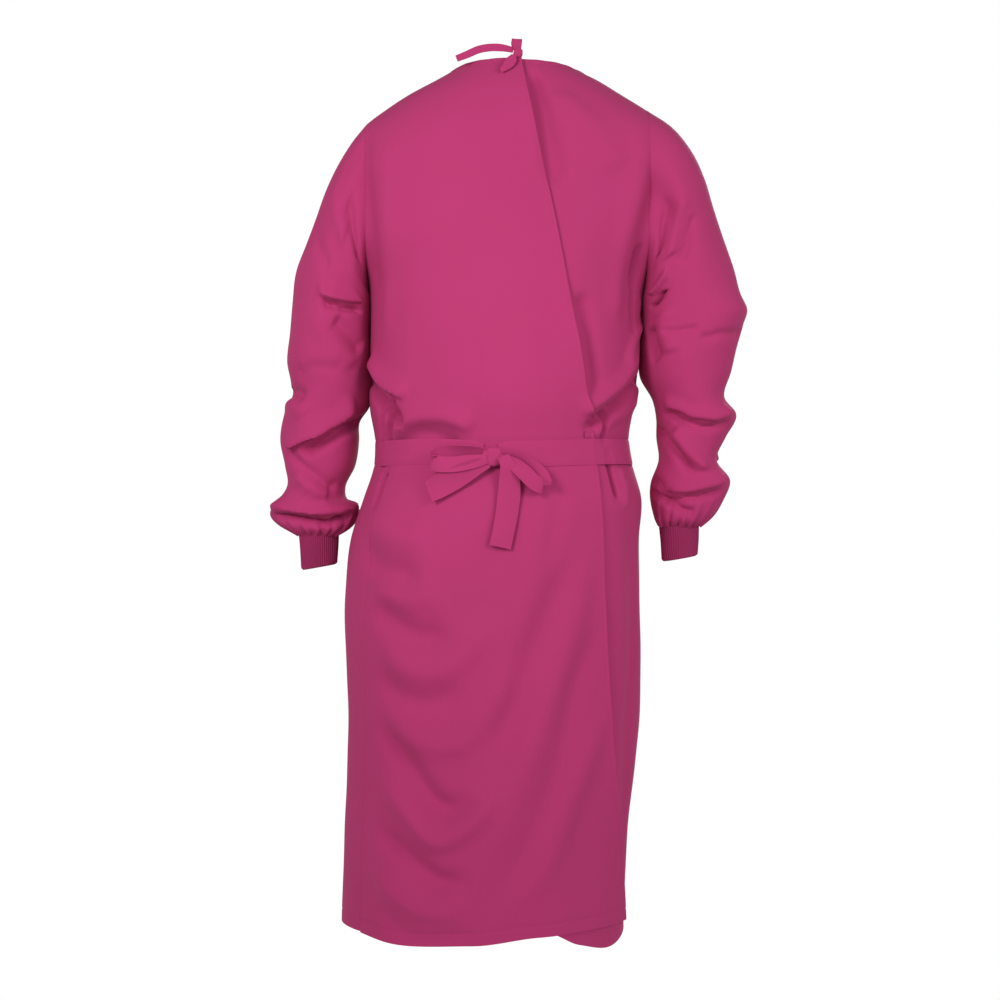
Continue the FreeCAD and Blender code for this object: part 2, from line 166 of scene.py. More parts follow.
# ---------------------------------------------------------------- folds
# A fold is a line of (across, level) points as seen from behind, then its half width and its
# height. All of that is in millimetres. Two more numbers may follow: how much narrower its steep
# side is, and how far it leans over that side. A line that runs to the right has its steep side
# below; one that runs down has it on the left.
SKIRT_FOLDS = (
    (((-206, -622), (-180, -640), (-140, -655), (-105, -650)), 22, 8),
    (((-208, -660), (-182, -694), (-150, -706), (-118, -700)), 20, -8),
    (((-200, -715), (-165, -730), (-130, -735), (-85, -722)), 18, 6),
    (((-192, -735), (-160, -768), (-125, -786), (-80, -770)), 19, -10),
    (((-187, -782), (-150, -822), (-109, -832), (-60, -800), (-21, -740)), 22, 7, 0.8, 0),
    (((-184, -822), (-147, -866), (-112, -872), (-66, -842)), 17, -7),
    (((-181, -866), (-138, -915), (-86, -925), (-34, -876), (5, -797)), 20, 6, 0.8, 0),
    (((-185, -892), (-140, -952), (-94, -1003), (-48, -990)), 15, -12),
    (((-190, -960), (-146, -1008), (-98, -1048), (-57, -1024), (-15, -950)), 17, 10, 0.8, 0),
    (((-190, -1030), (-144, -1068), (-95, -1100), (-50, -1090)), 15, -12),
    (((-200, -1090), (-151, -1124), (-105, -1140), (-60, -1125)), 17, 8, 0.8, 0),
    (((-195, -1138), (-120, -1178), (-40, -1160)), 15, -6),
    (((122, -752), (83, -831), (59, -930), (34, -1009), (-1, -1085), (-57, -1156)), 17, -5.5),
    (((126, -857), (99, -933), (67, -1012), (30, -1094), (-15, -1159)), 18, 6),
    (((83, -659), (41, -752), (6, -841), (-17, -918), (-44, -992)), 17, -6),
    (((106, -640), (70, -783), (37, -880), (4, -967), (-34, -1053), (-79, -1121)), 18, 6),
    (((41, -600), (12, -736), (-19, -825), (-44, -915)), 22, 5),
    (((0, -575), (-10, -650), (-35, -720)), 14, -3),
    (((60, -580), (50, -640), (30, -700)), 14, -3),
    (((150, -600), (160, -760), (150, -940), (142, -1150)), 18, -6),
)
BACK_FOLDS = (
    (((-206, -105), (-199, -190), (-192, -260), (-188, -330)), 12, -5),
    (((-176, -120), (-172, -210), (-170, -290), (-174, -400)), 16, 3),
    (((206, -100), (190, -180), (172, -250), (158, -330)), 12, -7),
    (((176, -110), (160, -200), (140, -290), (136, -380)), 15, 4),
    (((174, -262), (164, -288), (160, -320), (160, -385)), 6, -9),
    (((178, -352), (160, -395), (150, -430)), 9, 5),
    (((-208, -404), (-203, -432), (-190, -462), (-168, -488), (-145, -508)), 8, -26),
    (((-197, -412), (-176, -449), (-142, -470)), 13, 10, 0.5, 0.4),
    (((-184, -470), (-179, -516), (-181, -552)), 5, -10),
    (((-163, -462), (-168, -500), (-176, -545)), 5, -9),
    (((-172, -480), (-173, -515), (-179, -548)), 5, 5),
    (((-190, -566), (-166, -538), (-125, -522), (-66, -536)), 11, -8),
    (((-168, -516), (-140, -500), (-100, -497), (-50, -515)), 14, 7, 0.7, 0.2),
    (((182, -390), (172, -432), (153, -464), (128, -488), (85, -516)), 6, -16),
    (((80, -495), (112, -475), (142, -450), (168, -405)), 12, 8, 0.6, 0.4),
    (((182, -440), (153, -486), (120, -508), (95, -530)), 9, 4),
    (((128, -478), (121, -507), (115, -532)), 4.5, -10),
    (((-50, -385), (-50, -477), (-51, -548)), 6, -1.3),
    (((20, -25), (32, -80), (43, -130), (56, -200)), 11, -10),
    (((84, -330), (98, -400), (108, -470)), 12, -9),
    (((55, -60), (97, -112), (140, -175)), 20, 4),
    (((-172, -562), (-181, -588), (-190, -620)), 4.5, -10),
    (((121, -538), (129, -570), (138, -606)), 4.5, -12),
    (((140, -560), (147, -585), (150, -620)), 8, 4),
)
FRONT_FOLDS = (
    (((-150, -590), (-120, -760), (-130, -960), (-150, -1190)), 20, 6),
    (((-80, -600), (-75, -780), (-85, -980), (-90, -1190)), 18, -7),
    (((-20, -580), (-10, -760), (-20, -990), (-25, -1190)), 20, 6),
    (((40, -620), (45, -820), (40, -1010), (30, -1190)), 18, -6),
    (((95, -590), (100, -780), (90, -980), (85, -1190)), 18, 6),
    (((-190, -640), (-185, -860), (-195, -1190)), 16, -6),
    (((-120, -330), (-90, -420), (-60, -520)), 16, 4),
    (((100, -330), (70, -420), (40, -520)), 16, 4),
    (((-60, -380), (-30, -460), (-20, -525)), 12, -4),
    (((40, -400), (15, -470), (10, -525)), 12, -3),
    (((-208, -120), (-203, -210), (-199, -297)), 9, -4),
    (((208, -120), (190, -210), (172, -297)), 9, -4),
    (((-170, -150), (-140, -230), (-130, -310)), 18, 4),
    (((160, -150), (130, -230), (115, -310)), 18, 4),
    (((-110, -90), (-40, -125), (50, -125), (110, -90)), 18, -3),
    (((-190, -505), (-100, -492), (0, -500), (100, -492), (155, -505)), 14, 4, 0.6, 0.2),
    (((-185, -440), (-150, -480), (-140, -524)), 7, -6),
    (((150, -440), (120, -480), (110, -524)), 7, -6),
)
LEFT_ARM_BACK_FOLDS = (
    (((-268, -225), (-266, -255), (-256, -285), (-240, -300)), 8, -4.1),
    (((-245, -190), (-238, -230), (-225, -270)), 13, 4.1),
    (((-222, -200), (-216, -250), (-208, -300)), 11, -6.8),
    (((-262, -342), (-234, -349), (-203, -352)), 6, -9),
    (((-266, -326), (-236, -333), (-203, -336)), 10, 7, 0.5, 0.4),
    (((-245, -362), (-226, -382), (-204, -408)), 14, -7),
    (((-272, -355), (-248, -395), (-212, -432)), 15, 4),
    (((-206, -498), (-226, -507), (-258, -528), (-300, -553)), 7, -14.9),
    (((-312, -530), (-268, -508), (-231, -486), (-206, -472)), 12, 12.2, 0.5, 0.7),
    (((-313, -538), (-285, -566), (-254, -587), (-235, -592)), 8, -5),
    (((-300, -572), (-275, -592), (-250, -600)), 10, 5.4),
    (((-318, -452), (-300, -461), (-280, -470)), 8, -8.1),
    (((-318, -470), (-300, -482), (-276, -492)), 10, 4.1),
    (((-296, -437), (-266, -427), (-232, -437)), 8, -1.5),
    (((-294, -424), (-266, -413), (-232, -424)), 10, 1.5),
    (((-334, -629), (-292, -635), (-251, -637), (-215, -624)), 5.5, -16),
    (((-334, -613), (-285, -620), (-245, -620), (-215, -611)), 9, 8, 0.6, 0.45),
)
LEFT_ARM_FRONT_FOLDS = (
    (((-300, -300), (-255, -340), (-212, -360)), 10, 6.8),
    (((-300, -330), (-255, -370), (-212, -390)), 9, -8.1),
    (((-310, -430), (-260, -450), (-212, -440)), 9, -9.5),
    (((-310, -470), (-265, -500), (-215, -510)), 12, 8.1, 0.6, 0.3),
    (((-310, -510), (-270, -535), (-222, -530)), 8, -10.8),
    (((-310, -590), (-275, -570), (-228, -580)), 8, -6.8),
    (((-326, -618), (-275, -622), (-230, -615)), 6, -8.1),
)
RIGHT_ARM_BACK_FOLDS = (
    (((220, -290), (231, -255), (240, -215)), 8, -4.1),
    (((200, -200), (196, -250), (190, -290)), 9, -6.8),
    (((222, -200), (214, -245), (203, -290)), 11, 5.4),
    (((183, -346), (192, -338), (202, -322)), 5, -10.8),
    (((183, -330), (195, -315), (207, -296)), 8, 6.8),
    (((183, -372), (186, -398), (196, -422)), 7, -10.8),
    (((200, -350), (202, -385), (212, -415)), 10, 5.4),
    (((198, -381), (223, -378), (252, -375)), 5, -4.1),
    (((244, -391), (279, -384), (314, -378)), 6, -4.1),
    (((200, -487), (236, -504), (270, -509), (304, -499)), 5, -7),
    (((200, -470), (240, -488), (272, -492), (304, -480)), 9, 6.8, 0.6, 0.4),
    (((195, -506), (220, -542), (252, -584)), 7, -8.1),
    (((215, -509), (238, -539), (268, -574)), 10, 8.1, 1, 0.3),
    (((198, -605), (229, -605), (263, -600), (292, -588)), 5, -7),
    (((198, -590), (232, -590), (266, -584), (294, -570)), 9, 6.8, 0.6, 0.4),
    (((184, -592), (212, -611), (252, -631)), 6, -8.1),
    (((190, -576), (205, -592), (222, -598)), 7, -6.8),
)
RIGHT_ARM_FRONT_FOLDS = (
    (((290, -300), (240, -340), (190, -355)), 10, 6.8),
    (((296, -330), (245, -368), (190, -385)), 9, -8.1),
    (((290, -430), (240, -455), (190, -450)), 9, -9.5),
    (((290, -490), (250, -515), (200, -520)), 10, -8.1),
    (((284, -545), (240, -560), (200, -550)), 9, 6.8, 0.6, 0.3),
    (((284, -585), (240, -600), (192, -590)), 7, -8.1),
)

# ---------------------------------------------------------------- plain geometry helpers


def step_up(low, high, value):
    """0 below low, 1 above high, and smooth between."""
    t = np.clip((np.asarray(value, float) - low) / (high - low), 0, 1)
    return t * t * (3 - 2 * t)


def bell(value, middle, half_width):
    """1 at the middle, falling to nothing a couple of half widths away."""
    return np.exp(-(((value - middle) / half_width) ** 2))


def through(knots, values, at):
    """A smooth curve through values at rising knots, level past both ends."""
    knots, values = np.asarray(knots, float), np.asarray(values, float)
    slope = np.gradient(values, knots)
    at = np.clip(at, knots[0], knots[-1])
    low = np.clip(np.searchsorted(knots, at) - 1, 0, len(knots) - 2)
    gap = knots[low + 1] - knots[low]
    t = (at - knots[low]) / gap
    ends = values[low] * (1 + 2 * t) * (1 - t) ** 2 + values[low + 1] * t * t * (3 - 2 * t)
    return ends + gap * t * (1 - t) * (slope[low] * (1 - t) - slope[low + 1] * t)


def path_lengths(points):
    """How far along a line each of its points is."""
    return np.concatenate([[0], np.cumsum(np.linalg.norm(np.diff(points, axis=0), axis=1))])


def smooth_line(points, count):
    """A smooth line of count points through a few points, evenly spaced."""
    points = np.asarray(points, float)
    reach = path_lengths(points)
    at = np.linspace(0, reach[-1], count)
    return np.stack([through(reach, points[:, k], at) for k in range(points.shape[1])], axis=1)


def unit(vectors):
    """The same vectors at length one."""
    return vectors / np.maximum(np.linalg.norm(vectors, axis=-1, keepdims=True), 1e-12)


def grid_directions(grid, closed=False):
    """Unit vectors along the columns' and the rows' run of a grid, and their cross product."""
    if closed:
        across = np.roll(grid, -1, axis=1) - np.roll(grid, 1, axis=1)
    else:
        across = np.gradient(grid, axis=1)
    down = np.gradient(grid, axis=0)
    across, down = unit(across), unit(down)
    return across, down, unit(np.cross(down, across))


def fold_shift(spots, lines):
    """Height, and shift along each pattern axis, that the folds give at every spot."""
    out = np.zeros((len(spots), 3))
    for path, width, rise, steep, lean, fade in lines:
        run = unit(np.gradient(path, axis=0))
        side = np.stack([-run[:, 1], run[:, 0]], axis=1)
        low, high = path.min(0) - 3 * width, path.max(0) + 3 * width
        near = np.nonzero(((spots > low) & (spots < high)).all(1))[0]
        if not len(near):
            continue
        away = spots[near][:, None, :] - path[None]
        nearest = (away ** 2).sum(2).argmin(1)
        offset = away[np.arange(len(near)), nearest]
        over = (offset * side[nearest]).sum(1)
        past = np.abs((offset * run[nearest]).sum(1))
        along = nearest / (len(path) - 1)
        taper = step_up(0, fade, along) * step_up(0, fade, 1 - along)
        wide = np.where(over < 0, width * steep, width)
        bump = rise * taper * np.exp(-((over / wide) ** 2) - (past / width) ** 2)
        out[near, 0] += bump
        out[near, 1:] -= side[nearest] * (np.abs(bump) * lean)[:, None]
    return out


def wrapped_shift(flat, radius, lines):
    """The folds' shift on a pattern that closes on itself round a body of this radius."""
    around = 2 * math.pi * radius
    spots = flat.reshape(-1, 2)
    shift = sum(fold_shift(spots + [k * around, 0], lines) for k in (-1, 0, 1))
    return shift.reshape(*flat.shape[:-1], 3)


def mesh_object(name, vertices, faces, uvs=None):
    """A new mesh object, smooth shaded, with an optional UV place for each vertex."""
    mesh = bpy.data.meshes.new(name)
    mesh.from_pydata([tuple(v) for v in vertices], [], [tuple(f) for f in faces])
    if uvs is not None:
        layer = mesh.uv_layers.new(name="UVMap")
        corners = np.empty(len(mesh.loops), dtype=np.int32)
        mesh.loops.foreach_get("vertex_index", corners)
        layer.data.foreach_set("uv", np.asarray(uvs, np.float32)[corners].ravel())
    mesh.polygons.foreach_set("use_smooth", [True] * len(mesh.polygons))
    mesh.set_sharp_from_angle(angle=math.radians(50))
    thing = bpy.data.objects.new(name, mesh)
    bpy.context.scene.collection.objects.link(thing)
    return thing


def grid_faces(rows, columns, closed=False, flip=False):
    """The quads of a grid whose rows run down and columns run across."""
    index = np.arange(rows * columns).reshape(rows, columns)
    if closed:
        index = np.concatenate([index, index[:, :1]], axis=1)
    quads = np.stack([index[:-1, :-1], index[1:, :-1], index[1:, 1:], index[:-1, 1:]], axis=-1)
    quads = quads.reshape(-1, 4)
    return quads[:, ::-1] if flip else quads


def shell(name, grid, thick, uvs, closed=False, flip=False):
    """A closed cloth shell whose outer face is the grid, or is centred on it where thick < 0."""
    rows, columns, _ = grid.shape
    normal = grid_directions(grid, closed)[2] * (-1 if flip else 1)
    outer = grid + normal * (abs(thick) / 2 if thick < 0 else 0)
    inner = outer - normal * abs(thick)
    size = rows * columns
    front = grid_faces(rows, columns, closed, flip)
    faces = [front, front[:, ::-1] + size]
    index = np.arange(size).reshape(rows, columns)
    rims = []
    for edge, turn in ((index[0], 1), (index[-1], -1)):
        edge = np.append(edge, edge[0]) if closed else edge
        rims.append((edge, turn))
    if not closed:
        rims += [(index[:, 0], -1), (index[:, -1], 1)]
    for edge, turn in rims:
        quads = np.stack([edge[:-1], edge[1:], edge[1:] + size, edge[:-1] + size], axis=-1)
        faces.append(quads[:, ::-1] if (turn < 0) != flip else quads)
    vertices = np.concatenate([outer.reshape(-1, 3), inner.reshape(-1, 3)])
    both = np.concatenate([uvs.reshape(-1, 2)] * 2)
    return mesh_object(name, vertices, np.concatenate(faces), both)


def finish_piece(thing, body, material, slot, *nodes):
    """Gives a piece its material, and puts it in place of its CAD nodes on its body. Its slot is not
    used.
    """
    thing.data.materials.clear()
    thing.data.materials.append(material)
    if nodes:
        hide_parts(*nodes)
    if body:
        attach(thing, body)
    return thing


# ---------------------------------------------------------------- materials


def node_material(name):
    """A new node material, its tree, and its shader."""
    material = bpy.data.materials.new(name)
    material.use_nodes = True
    tree = material.node_tree
    return material, tree, tree.nodes["Principled BSDF"]


def math_node(tree, operation, *inputs):
    """A math node fed by numbers or sockets; returns its output."""
    node = tree.nodes.new("ShaderNodeMath")
    node.operation = operation
    for place, value in enumerate(inputs):
        if isinstance(value, (int, float)):
            node.inputs[place].default_value = value
        else:
            tree.links.new(value, node.inputs[place])
    return node.outputs[0]


def noise_node(tree, vector, scale, detail):
    """A noise texture read at a vector; returns its value."""
    node = tree.nodes.new("ShaderNodeTexNoise")
    node.inputs["Scale"].default_value = scale
    node.inputs["Detail"].default_value = detail
    tree.links.new(vector, node.inputs["Vector"])
    return node.outputs["Fac"]


def colour_between(tree, amount, dark, light):
    """A colour ramp from dark to light, with a narrow middle."""
    node = tree.nodes.new("ShaderNodeValToRGB")
    node.color_ramp.elements[0].position = 0.25
    node.color_ramp.elements[0].color = (*dark, 1)
    node.color_ramp.elements[1].position = 0.75
    node.color_ramp.elements[1].color = (*light, 1)
    tree.links.new(amount, node.inputs["Fac"])
    return node.outputs["Color"]


def shade(colour, factor):
    """The colour made lighter or darker."""
    return tuple(min(1.0, c * factor) for c in colour)


RASPBERRY = (0.400, 0.0340, 0.134)


def cloth_material(name, colour, thread_pitch, weave_depth, rib=False):
    """Plain-woven or rib-knit cotton mix: thread weave, slubs and a faint uneven dye."""
    material, tree, shader = node_material(name)
    place = tree.nodes.new("ShaderNodeTexCoord")
    flat, solid = place.outputs["UV"], place.outputs["Object"]
    waves = []
    for direction in ("X", "Y"):
        wave = tree.nodes.new("ShaderNodeTexWave")
        wave.bands_direction = direction
        wave.inputs["Scale"].default_value = 0.5 / (thread_pitch * 2 * math.pi)
        wave.inputs["Distortion"].default_value = 0.6
        wave.inputs["Detail"].default_value = 1
        tree.links.new(flat, wave.inputs["Vector"])
        waves.append(wave.outputs["Fac"])
    weave = math_node(tree, "MULTIPLY" if rib else "MAXIMUM", *waves)
    slub = noise_node(tree, flat, 900, 3)
    dye = noise_node(tree, solid, 5, 4)
    mottle = math_node(tree, "ADD", math_node(tree, "MULTIPLY", dye, 0.7),
                       math_node(tree, "MULTIPLY", slub, 0.3))
    tree.links.new(colour_between(tree, mottle, shade(colour, 0.95), shade(colour, 1.05)),
                   shader.inputs["Base Color"])
    rough = math_node(tree, "ADD", math_node(tree, "MULTIPLY", slub, 0.12), 0.78)
    tree.links.new(rough, shader.inputs["Roughness"])
    height = math_node(tree, "ADD", weave, math_node(tree, "MULTIPLY", slub, 0.6))
    bump = tree.nodes.new("ShaderNodeBump")
    bump.inputs["Strength"].default_value = weave_depth
    bump.inputs["Distance"].default_value = 0.15 * MM
    tree.links.new(height, bump.inputs["Height"])
    tree.links.new(bump.outputs["Normal"], shader.inputs["Normal"])
    shader.inputs["Specular IOR Level"].default_value = 0.08
    shader.inputs["Sheen Weight"].default_value = 0.05
    shader.inputs["Sheen Roughness"].default_value = 0.5
    shader.inputs["Sheen Tint"].default_value = (1.0, 0.62, 0.80, 1)
    return material


CLOTH_LOOK = cloth_material("raspberry_woven_cloth", RASPBERRY, 0.45 * MM, 0.25)
TAPE_LOOK = cloth_material("raspberry_tape", RASPBERRY, 0.40 * MM, 0.3)
KNIT_LOOK = cloth_material("raspberry_rib_knit", shade(RASPBERRY, 0.69), 0.9 * MM, 0.5, rib=True)
THREAD_LOOK = cloth_material("raspberry_thread", shade(RASPBERRY, 0.95), 0.2 * MM, 0.3)


FLOOR_RADIUS = 0.72
FLOOR_LEVEL = -1.50


def plain_floor():
    """A plain pale round floor below the hem, as far down as the wearer's feet."""
    material, tree, shader = node_material("pale_floor")
    place = tree.nodes.new("ShaderNodeTexCoord")
    grain = noise_node(tree, place.outputs["Object"], 3, 2)
    tree.links.new(colour_between(tree, grain, (0.90, 0.90, 0.90), (0.93, 0.93, 0.93)),
                   shader.inputs["Base Color"])
    shader.inputs["Roughness"].default_value = 0.9
    turn = np.linspace(0, 2 * math.pi, 96, endpoint=False)
    rim = [(FLOOR_RADIUS * math.cos(t), FLOOR_RADIUS * math.sin(t), FLOOR_LEVEL) for t in turn]
    floor = mesh_object("studio_floor", rim, [tuple(range(len(rim)))])
    floor.data.materials.append(material)


def camera():
    """A level camera behind the gown."""
    lens = bpy.data.cameras.new("camera")
    lens.lens = 68.2
    lens.sensor_width = 36
    lens.clip_end = 200
    eye = bpy.data.objects.new("camera", lens)
    eye.location = (-0.021, -2.6, -0.607)
    eye.rotation_euler = (math.radians(90), 0, 0)
    bpy.context.scene.collection.objects.link(eye)
    bpy.context.scene.camera = eye


LAMP_TARGET = (0, 0, -0.40)


def lamps():
    """Two soft lamps behind the gown, where the camera is, and one in front."""
    plan = (("key", (-1.0, -1.7, 0.10), 0.7, 4.1), ("fill", (1.35, -1.8, 0.05), 0.9, 3.6),
            ("front_key", (0.7, 1.9, 0.2), 0.9, 5.5))
    for name, place, size, power in plan:
        lamp = bpy.data.lights.new(name, "AREA")
        lamp.shape = "DISK"
        lamp.size = size
        lamp.energy = power
        lamp.spread = math.radians(78)
        holder = bpy.data.objects.new(name, lamp)
        holder.location = place
        aim = Vector(LAMP_TARGET) - Vector(place)
        holder.rotation_euler = aim.to_track_quat("-Z", "Y").to_euler()
        bpy.context.scene.collection.objects.link(holder)


def surroundings():
    """A world that is white round the horizon and dim above and below."""
    world = bpy.data.worlds.new("studio")
    world.use_nodes = True
    tree = world.node_tree
    place = tree.nodes.new("ShaderNodeTexCoord")
    split = tree.nodes.new("ShaderNodeSeparateXYZ")
    ramp = tree.nodes.new("ShaderNodeValToRGB")
    bands = ((0.0, 0.15), (0.29, 0.15), (0.345, 1.0), (0.655, 1.0), (0.72, 0.22), (1.0, 0.22))
    while len(ramp.color_ramp.elements) < len(bands):
        ramp.color_ramp.elements.new(0.5)
    for element, (spot, value) in zip(ramp.color_ramp.elements, bands):
        element.position = spot
        element.color = (value, value, value, 1)
    tree.links.new(place.outputs["Generated"], split.inputs[0])
    height = math_node(tree, "MULTIPLY_ADD", split.outputs["Z"], 0.5, 0.5)
    tree.links.new(height, ramp.inputs["Fac"])
    tree.links.new(ramp.outputs["Color"], tree.nodes["Background"].inputs["Color"])
    tree.nodes["Background"].inputs["Strength"].default_value = 1.0
    bpy.context.scene.world = world
    bpy.context.scene.view_settings.view_transform = "Standard"
    bpy.context.scene.view_settings.look = "None"


# ---------------------------------------------------------------- the body's cloth

BODY_TABLE = np.array(BODY)
LAP_TABLE = np.array(LAP_EDGE)


def body_measure(column, level):
    """One column of the body table at any level."""
    return through(-BODY_TABLE[:, 0], BODY_TABLE[:, column], -np.asarray(level, float))


def centre_and_half(level):
    """The body's middle and half width at a level."""
    left, right = body_measure(1, level), body_measure(2, level)
    return (left + right) / 2, (right - left) / 2


def body_point(angle, level):
    """The plain body surface at an angle in degrees and a level."""
    middle, half = centre_and_half(level)
    turn = np.radians(angle)
    deep = np.where(np.cos(turn) > 0, body_measure(3, level), body_measure(4, level))
    return np.stack([middle + half * np.sin(turn), -deep * np.cos(turn), level], axis=-1)


def angle_at(across, level, face=BACK):
    """The angle whose surface is at this place across, on the back or the front."""
    middle, half = centre_and_half(level)
    angle = np.degrees(np.arcsin(np.clip((across - middle) / half, -1, 1)))
    return angle if face == BACK else 180 - angle


def lap_angle(level):
    """Where the outer back panel ends."""
    return angle_at(through(-LAP_TABLE[:, 0], LAP_TABLE[:, 1], -level), level)


def hidden_angle(level):
    """Where the inner back panel ends, under the outer one."""
    down = np.clip(level / HEM_LEVEL, 0, 1)
    return angle_at(HIDDEN_EDGE_TOP + (HIDDEN_EDGE_BASE - HIDDEN_EDGE_TOP) * down, level)


def neck_level(angle):
    """The height of the neck edge: level behind, lower in front."""
    return NECK_LEVEL - NECK_FALL * ((1 - np.cos(np.radians(angle))) / 2) ** 3


def hem_level(angle, under):
    """The height of the hem. Under the outer panel it hangs a little lower, near the right side."""
    level = HEM_LEVEL - 0.0055 * bell(angle, -32, 24)
    if under:
        level = level + 0.014 * (1 - step_up(24, 42, angle)) * step_up(-60, -30, angle)
        return level - 0.022 * bell(angle, 62, 22)
    return level + 0.008 * step_up(-4, 22, angle)


def body_lines(folds, fade, face):
    """The folds of the body as lines on its flat pattern, fading over a share of each end."""
    lines = []
    for points, width, rise, *slope in folds:
        steep, lean = slope or UPRIGHT
        path = smooth_line(np.array(points) * MM, 80)
        angle = angle_at(path[:, 0], path[:, 1], face)
        flat = np.stack([np.radians(angle) * PATTERN_RADIUS, path[:, 1]], axis=1)
        if face == FRONT:
            flat = flat[::-1]
        lines.append((flat, width * MM, rise * MM, steep, lean, fade))
    return lines


BODY_LINES = (body_lines(SKIRT_FOLDS, 0.28, BACK) + body_lines(FRONT_FOLDS, 0.28, FRONT)
              + body_lines(BACK_FOLDS, 0.15, BACK))


def body_ripple(angle, level):
    """The slow unevenness of hanging cloth, more on the skirt."""
    turn = np.radians(angle)
    skirt = step_up(0.58, 0.75, -level)
    slow = np.sin(3 * turn + 9 * level) + 0.7 * np.sin(5 * turn - 13 * level + 1.3)
    quick = np.sin(9 * turn + 31 * level + 2 * np.sin(7 * level)) * np.sin(6 * turn - 23 * level)
    flare = skirt * 2.2 * np.sin(7 * turn + 1.5 * level + 0.8)
    return (0.8 * slow + 0.4 * quick + flare) * MM


def belt_sag(angle):
    """How far the waist tie hangs below its level, most at the bow."""
    signed = np.where(np.asarray(angle) > 180, angle - 360, angle)
    return 4 * MM * bell(signed, -6, 26) + 1.2 * MM * np.sin(np.radians(signed * 4))


def cinch(angle, level):
    """The groove that the waist tie presses into the cloth."""
    level = level + belt_sag(angle)
    belt = step_up(-BELT_TOP - 0.003, -BELT_TOP + 0.001, -level)
    belt = belt * (1 - step_up(-BELT_BASE - 0.001, -BELT_BASE + 0.003, -level))
    return -1.6 * MM * belt


def armhole_dip(points):
    """A slight dip along each armhole seam."""
    near = bell(points[..., 0], LEFT_ARMHOLE, 0.004) + bell(points[..., 0], RIGHT_ARMHOLE, 0.004)
    high = step_up(-0.315, -0.290, points[..., 2])
    return -0.2 * MM * near * high


def outer_lift(angle, level):
    """How far the outer back panel stands off the body: over the inner one, more at its edge."""
    edge = np.radians(lap_angle(level) - angle) * PATTERN_RADIUS
    loose = 2.0 + 7.0 * bell(level, -0.10, 0.055) + 6.0 * bell(level, -0.41, 0.06)
    loose = loose + 1.6 * step_up(0.62, 0.80, -level)
    near_edge = np.exp(-np.clip(edge, 0, None) / 0.016)
    belt = step_up(-BELT_TOP - 0.02, -BELT_TOP, -level) * (1 - step_up(0.56, 0.59, -level))
    beyond = 2.4 * step_up(40, 66, angle)
    return (loose * near_edge * (1 - 0.8 * belt) + beyond) * MM


def inner_sink(angle):
    """How far the inner back panel lies under the outer one, none at its side seam."""
    return LAYER_GAP * (1 - step_up(RIGHT_SEAM - 24, RIGHT_SEAM, angle))


def column_places(first, last, count, edge_steps):
    """Even angles from first to last, with extra columns close to both edges."""
    even = np.linspace(0, 1, count)
    span = abs(last - first) * math.pi / 180 * PATTERN_RADIUS
    extra = [s / span for s in edge_steps] + [1 - s / span for s in edge_steps]
    return np.unique(np.concatenate([even, extra]))


def row_places():
    """Shares of the way from the neck edge to the hem: close on the shoulders and at the hem."""
    long = NECK_LEVEL - HEM_LEVEL
    top = np.arange(0, 0.10, 0.0026)
    rest = np.linspace(0.10, long - HEM_HIGH - 0.003, 250)
    seam = long - HEM_HIGH + np.array([-0.0012, 0, 0.0012])
    hem = np.linspace(long - HEM_HIGH + 0.0035, long, 5)
    return np.concatenate([top, rest, seam, hem]) / long


ROWS = row_places()
HEM_SEAM_ROW = -7
HEM_STITCH_ROW = -9
LAP_STITCH_COLUMN = -5
LAP_STITCH_TOP_ROW = 8


def angles_between(first, last, places, level):
    """The angle of every spot between two edges, each an angle or a function of level."""
    start = first(level) if callable(first) else first + 0 * level
    end = last(level) if callable(last) else last + 0 * level
    return start + (end - start) * places[None]


def panel_grid(first, last, places, layer):
    """The outer face of a body panel between two edges, each an angle or a function of level."""
    share = ROWS[:, None] * np.ones(len(places))[None]
    level = NECK_LEVEL + share * (HEM_LEVEL - NECK_LEVEL)
    angle = angles_between(first, last, places, level)
    level = level + (neck_level(angle) - NECK_LEVEL) * (1 - step_up(0, 0.24, share))
    lowered = hem_level(angle, layer in ("inner", "front"))
    level = level + (lowered - HEM_LEVEL) * step_up(0.80, 1, share)
    angle = angles_between(first, last, places, level)
    base = body_point(angle, level)
    across, down, normal = grid_directions(base)
    flat = np.stack([np.radians(angle) * PATTERN_RADIUS, level], axis=-1)
    shift = wrapped_shift(flat, PATTERN_RADIUS, BODY_LINES)
    height = shift[..., 0] + body_ripple(angle, level) * step_up(0, 0.06, share)
    height = height + cinch(angle, level) + armhole_dip(base)
    height = height * step_up(-0.01, 0.035, share)
    if layer == "outer":
        height = height + outer_lift(angle, level)
    if layer == "inner":
        height = height - inner_sink(angle)
    from_seam = (ROWS - ROWS[HEM_SEAM_ROW]) * (NECK_LEVEL - HEM_LEVEL)
    height = height - 0.55 * MM * bell(from_seam, 0, 1.1 * MM)[:, None]
    grid = base + normal * height[..., None]
    grid = grid + across * shift[..., 1:2] - down * shift[..., 2:3]
    return grid, flat


def seam_groove(grid, first, last):
    """Draws the cloth in along its seamed side edges."""
    normal = grid_directions(grid)[2]
    reach = np.linalg.norm(np.diff(grid, axis=1), axis=2)
    from_first = np.concatenate([np.zeros((len(grid), 1)), np.cumsum(reach, axis=1)], axis=1)
    from_last = from_first[:, -1:] - from_first
    depth = first * np.exp(-(from_first / 0.0022) ** 2) + last * np.exp(-(from_last / 0.0022) ** 2)
    low = 0.15 + 0.85 * step_up(0.56, 0.70, -grid[..., 2])
    return grid - normal * (0.9 * MM * depth * low)[..., None]


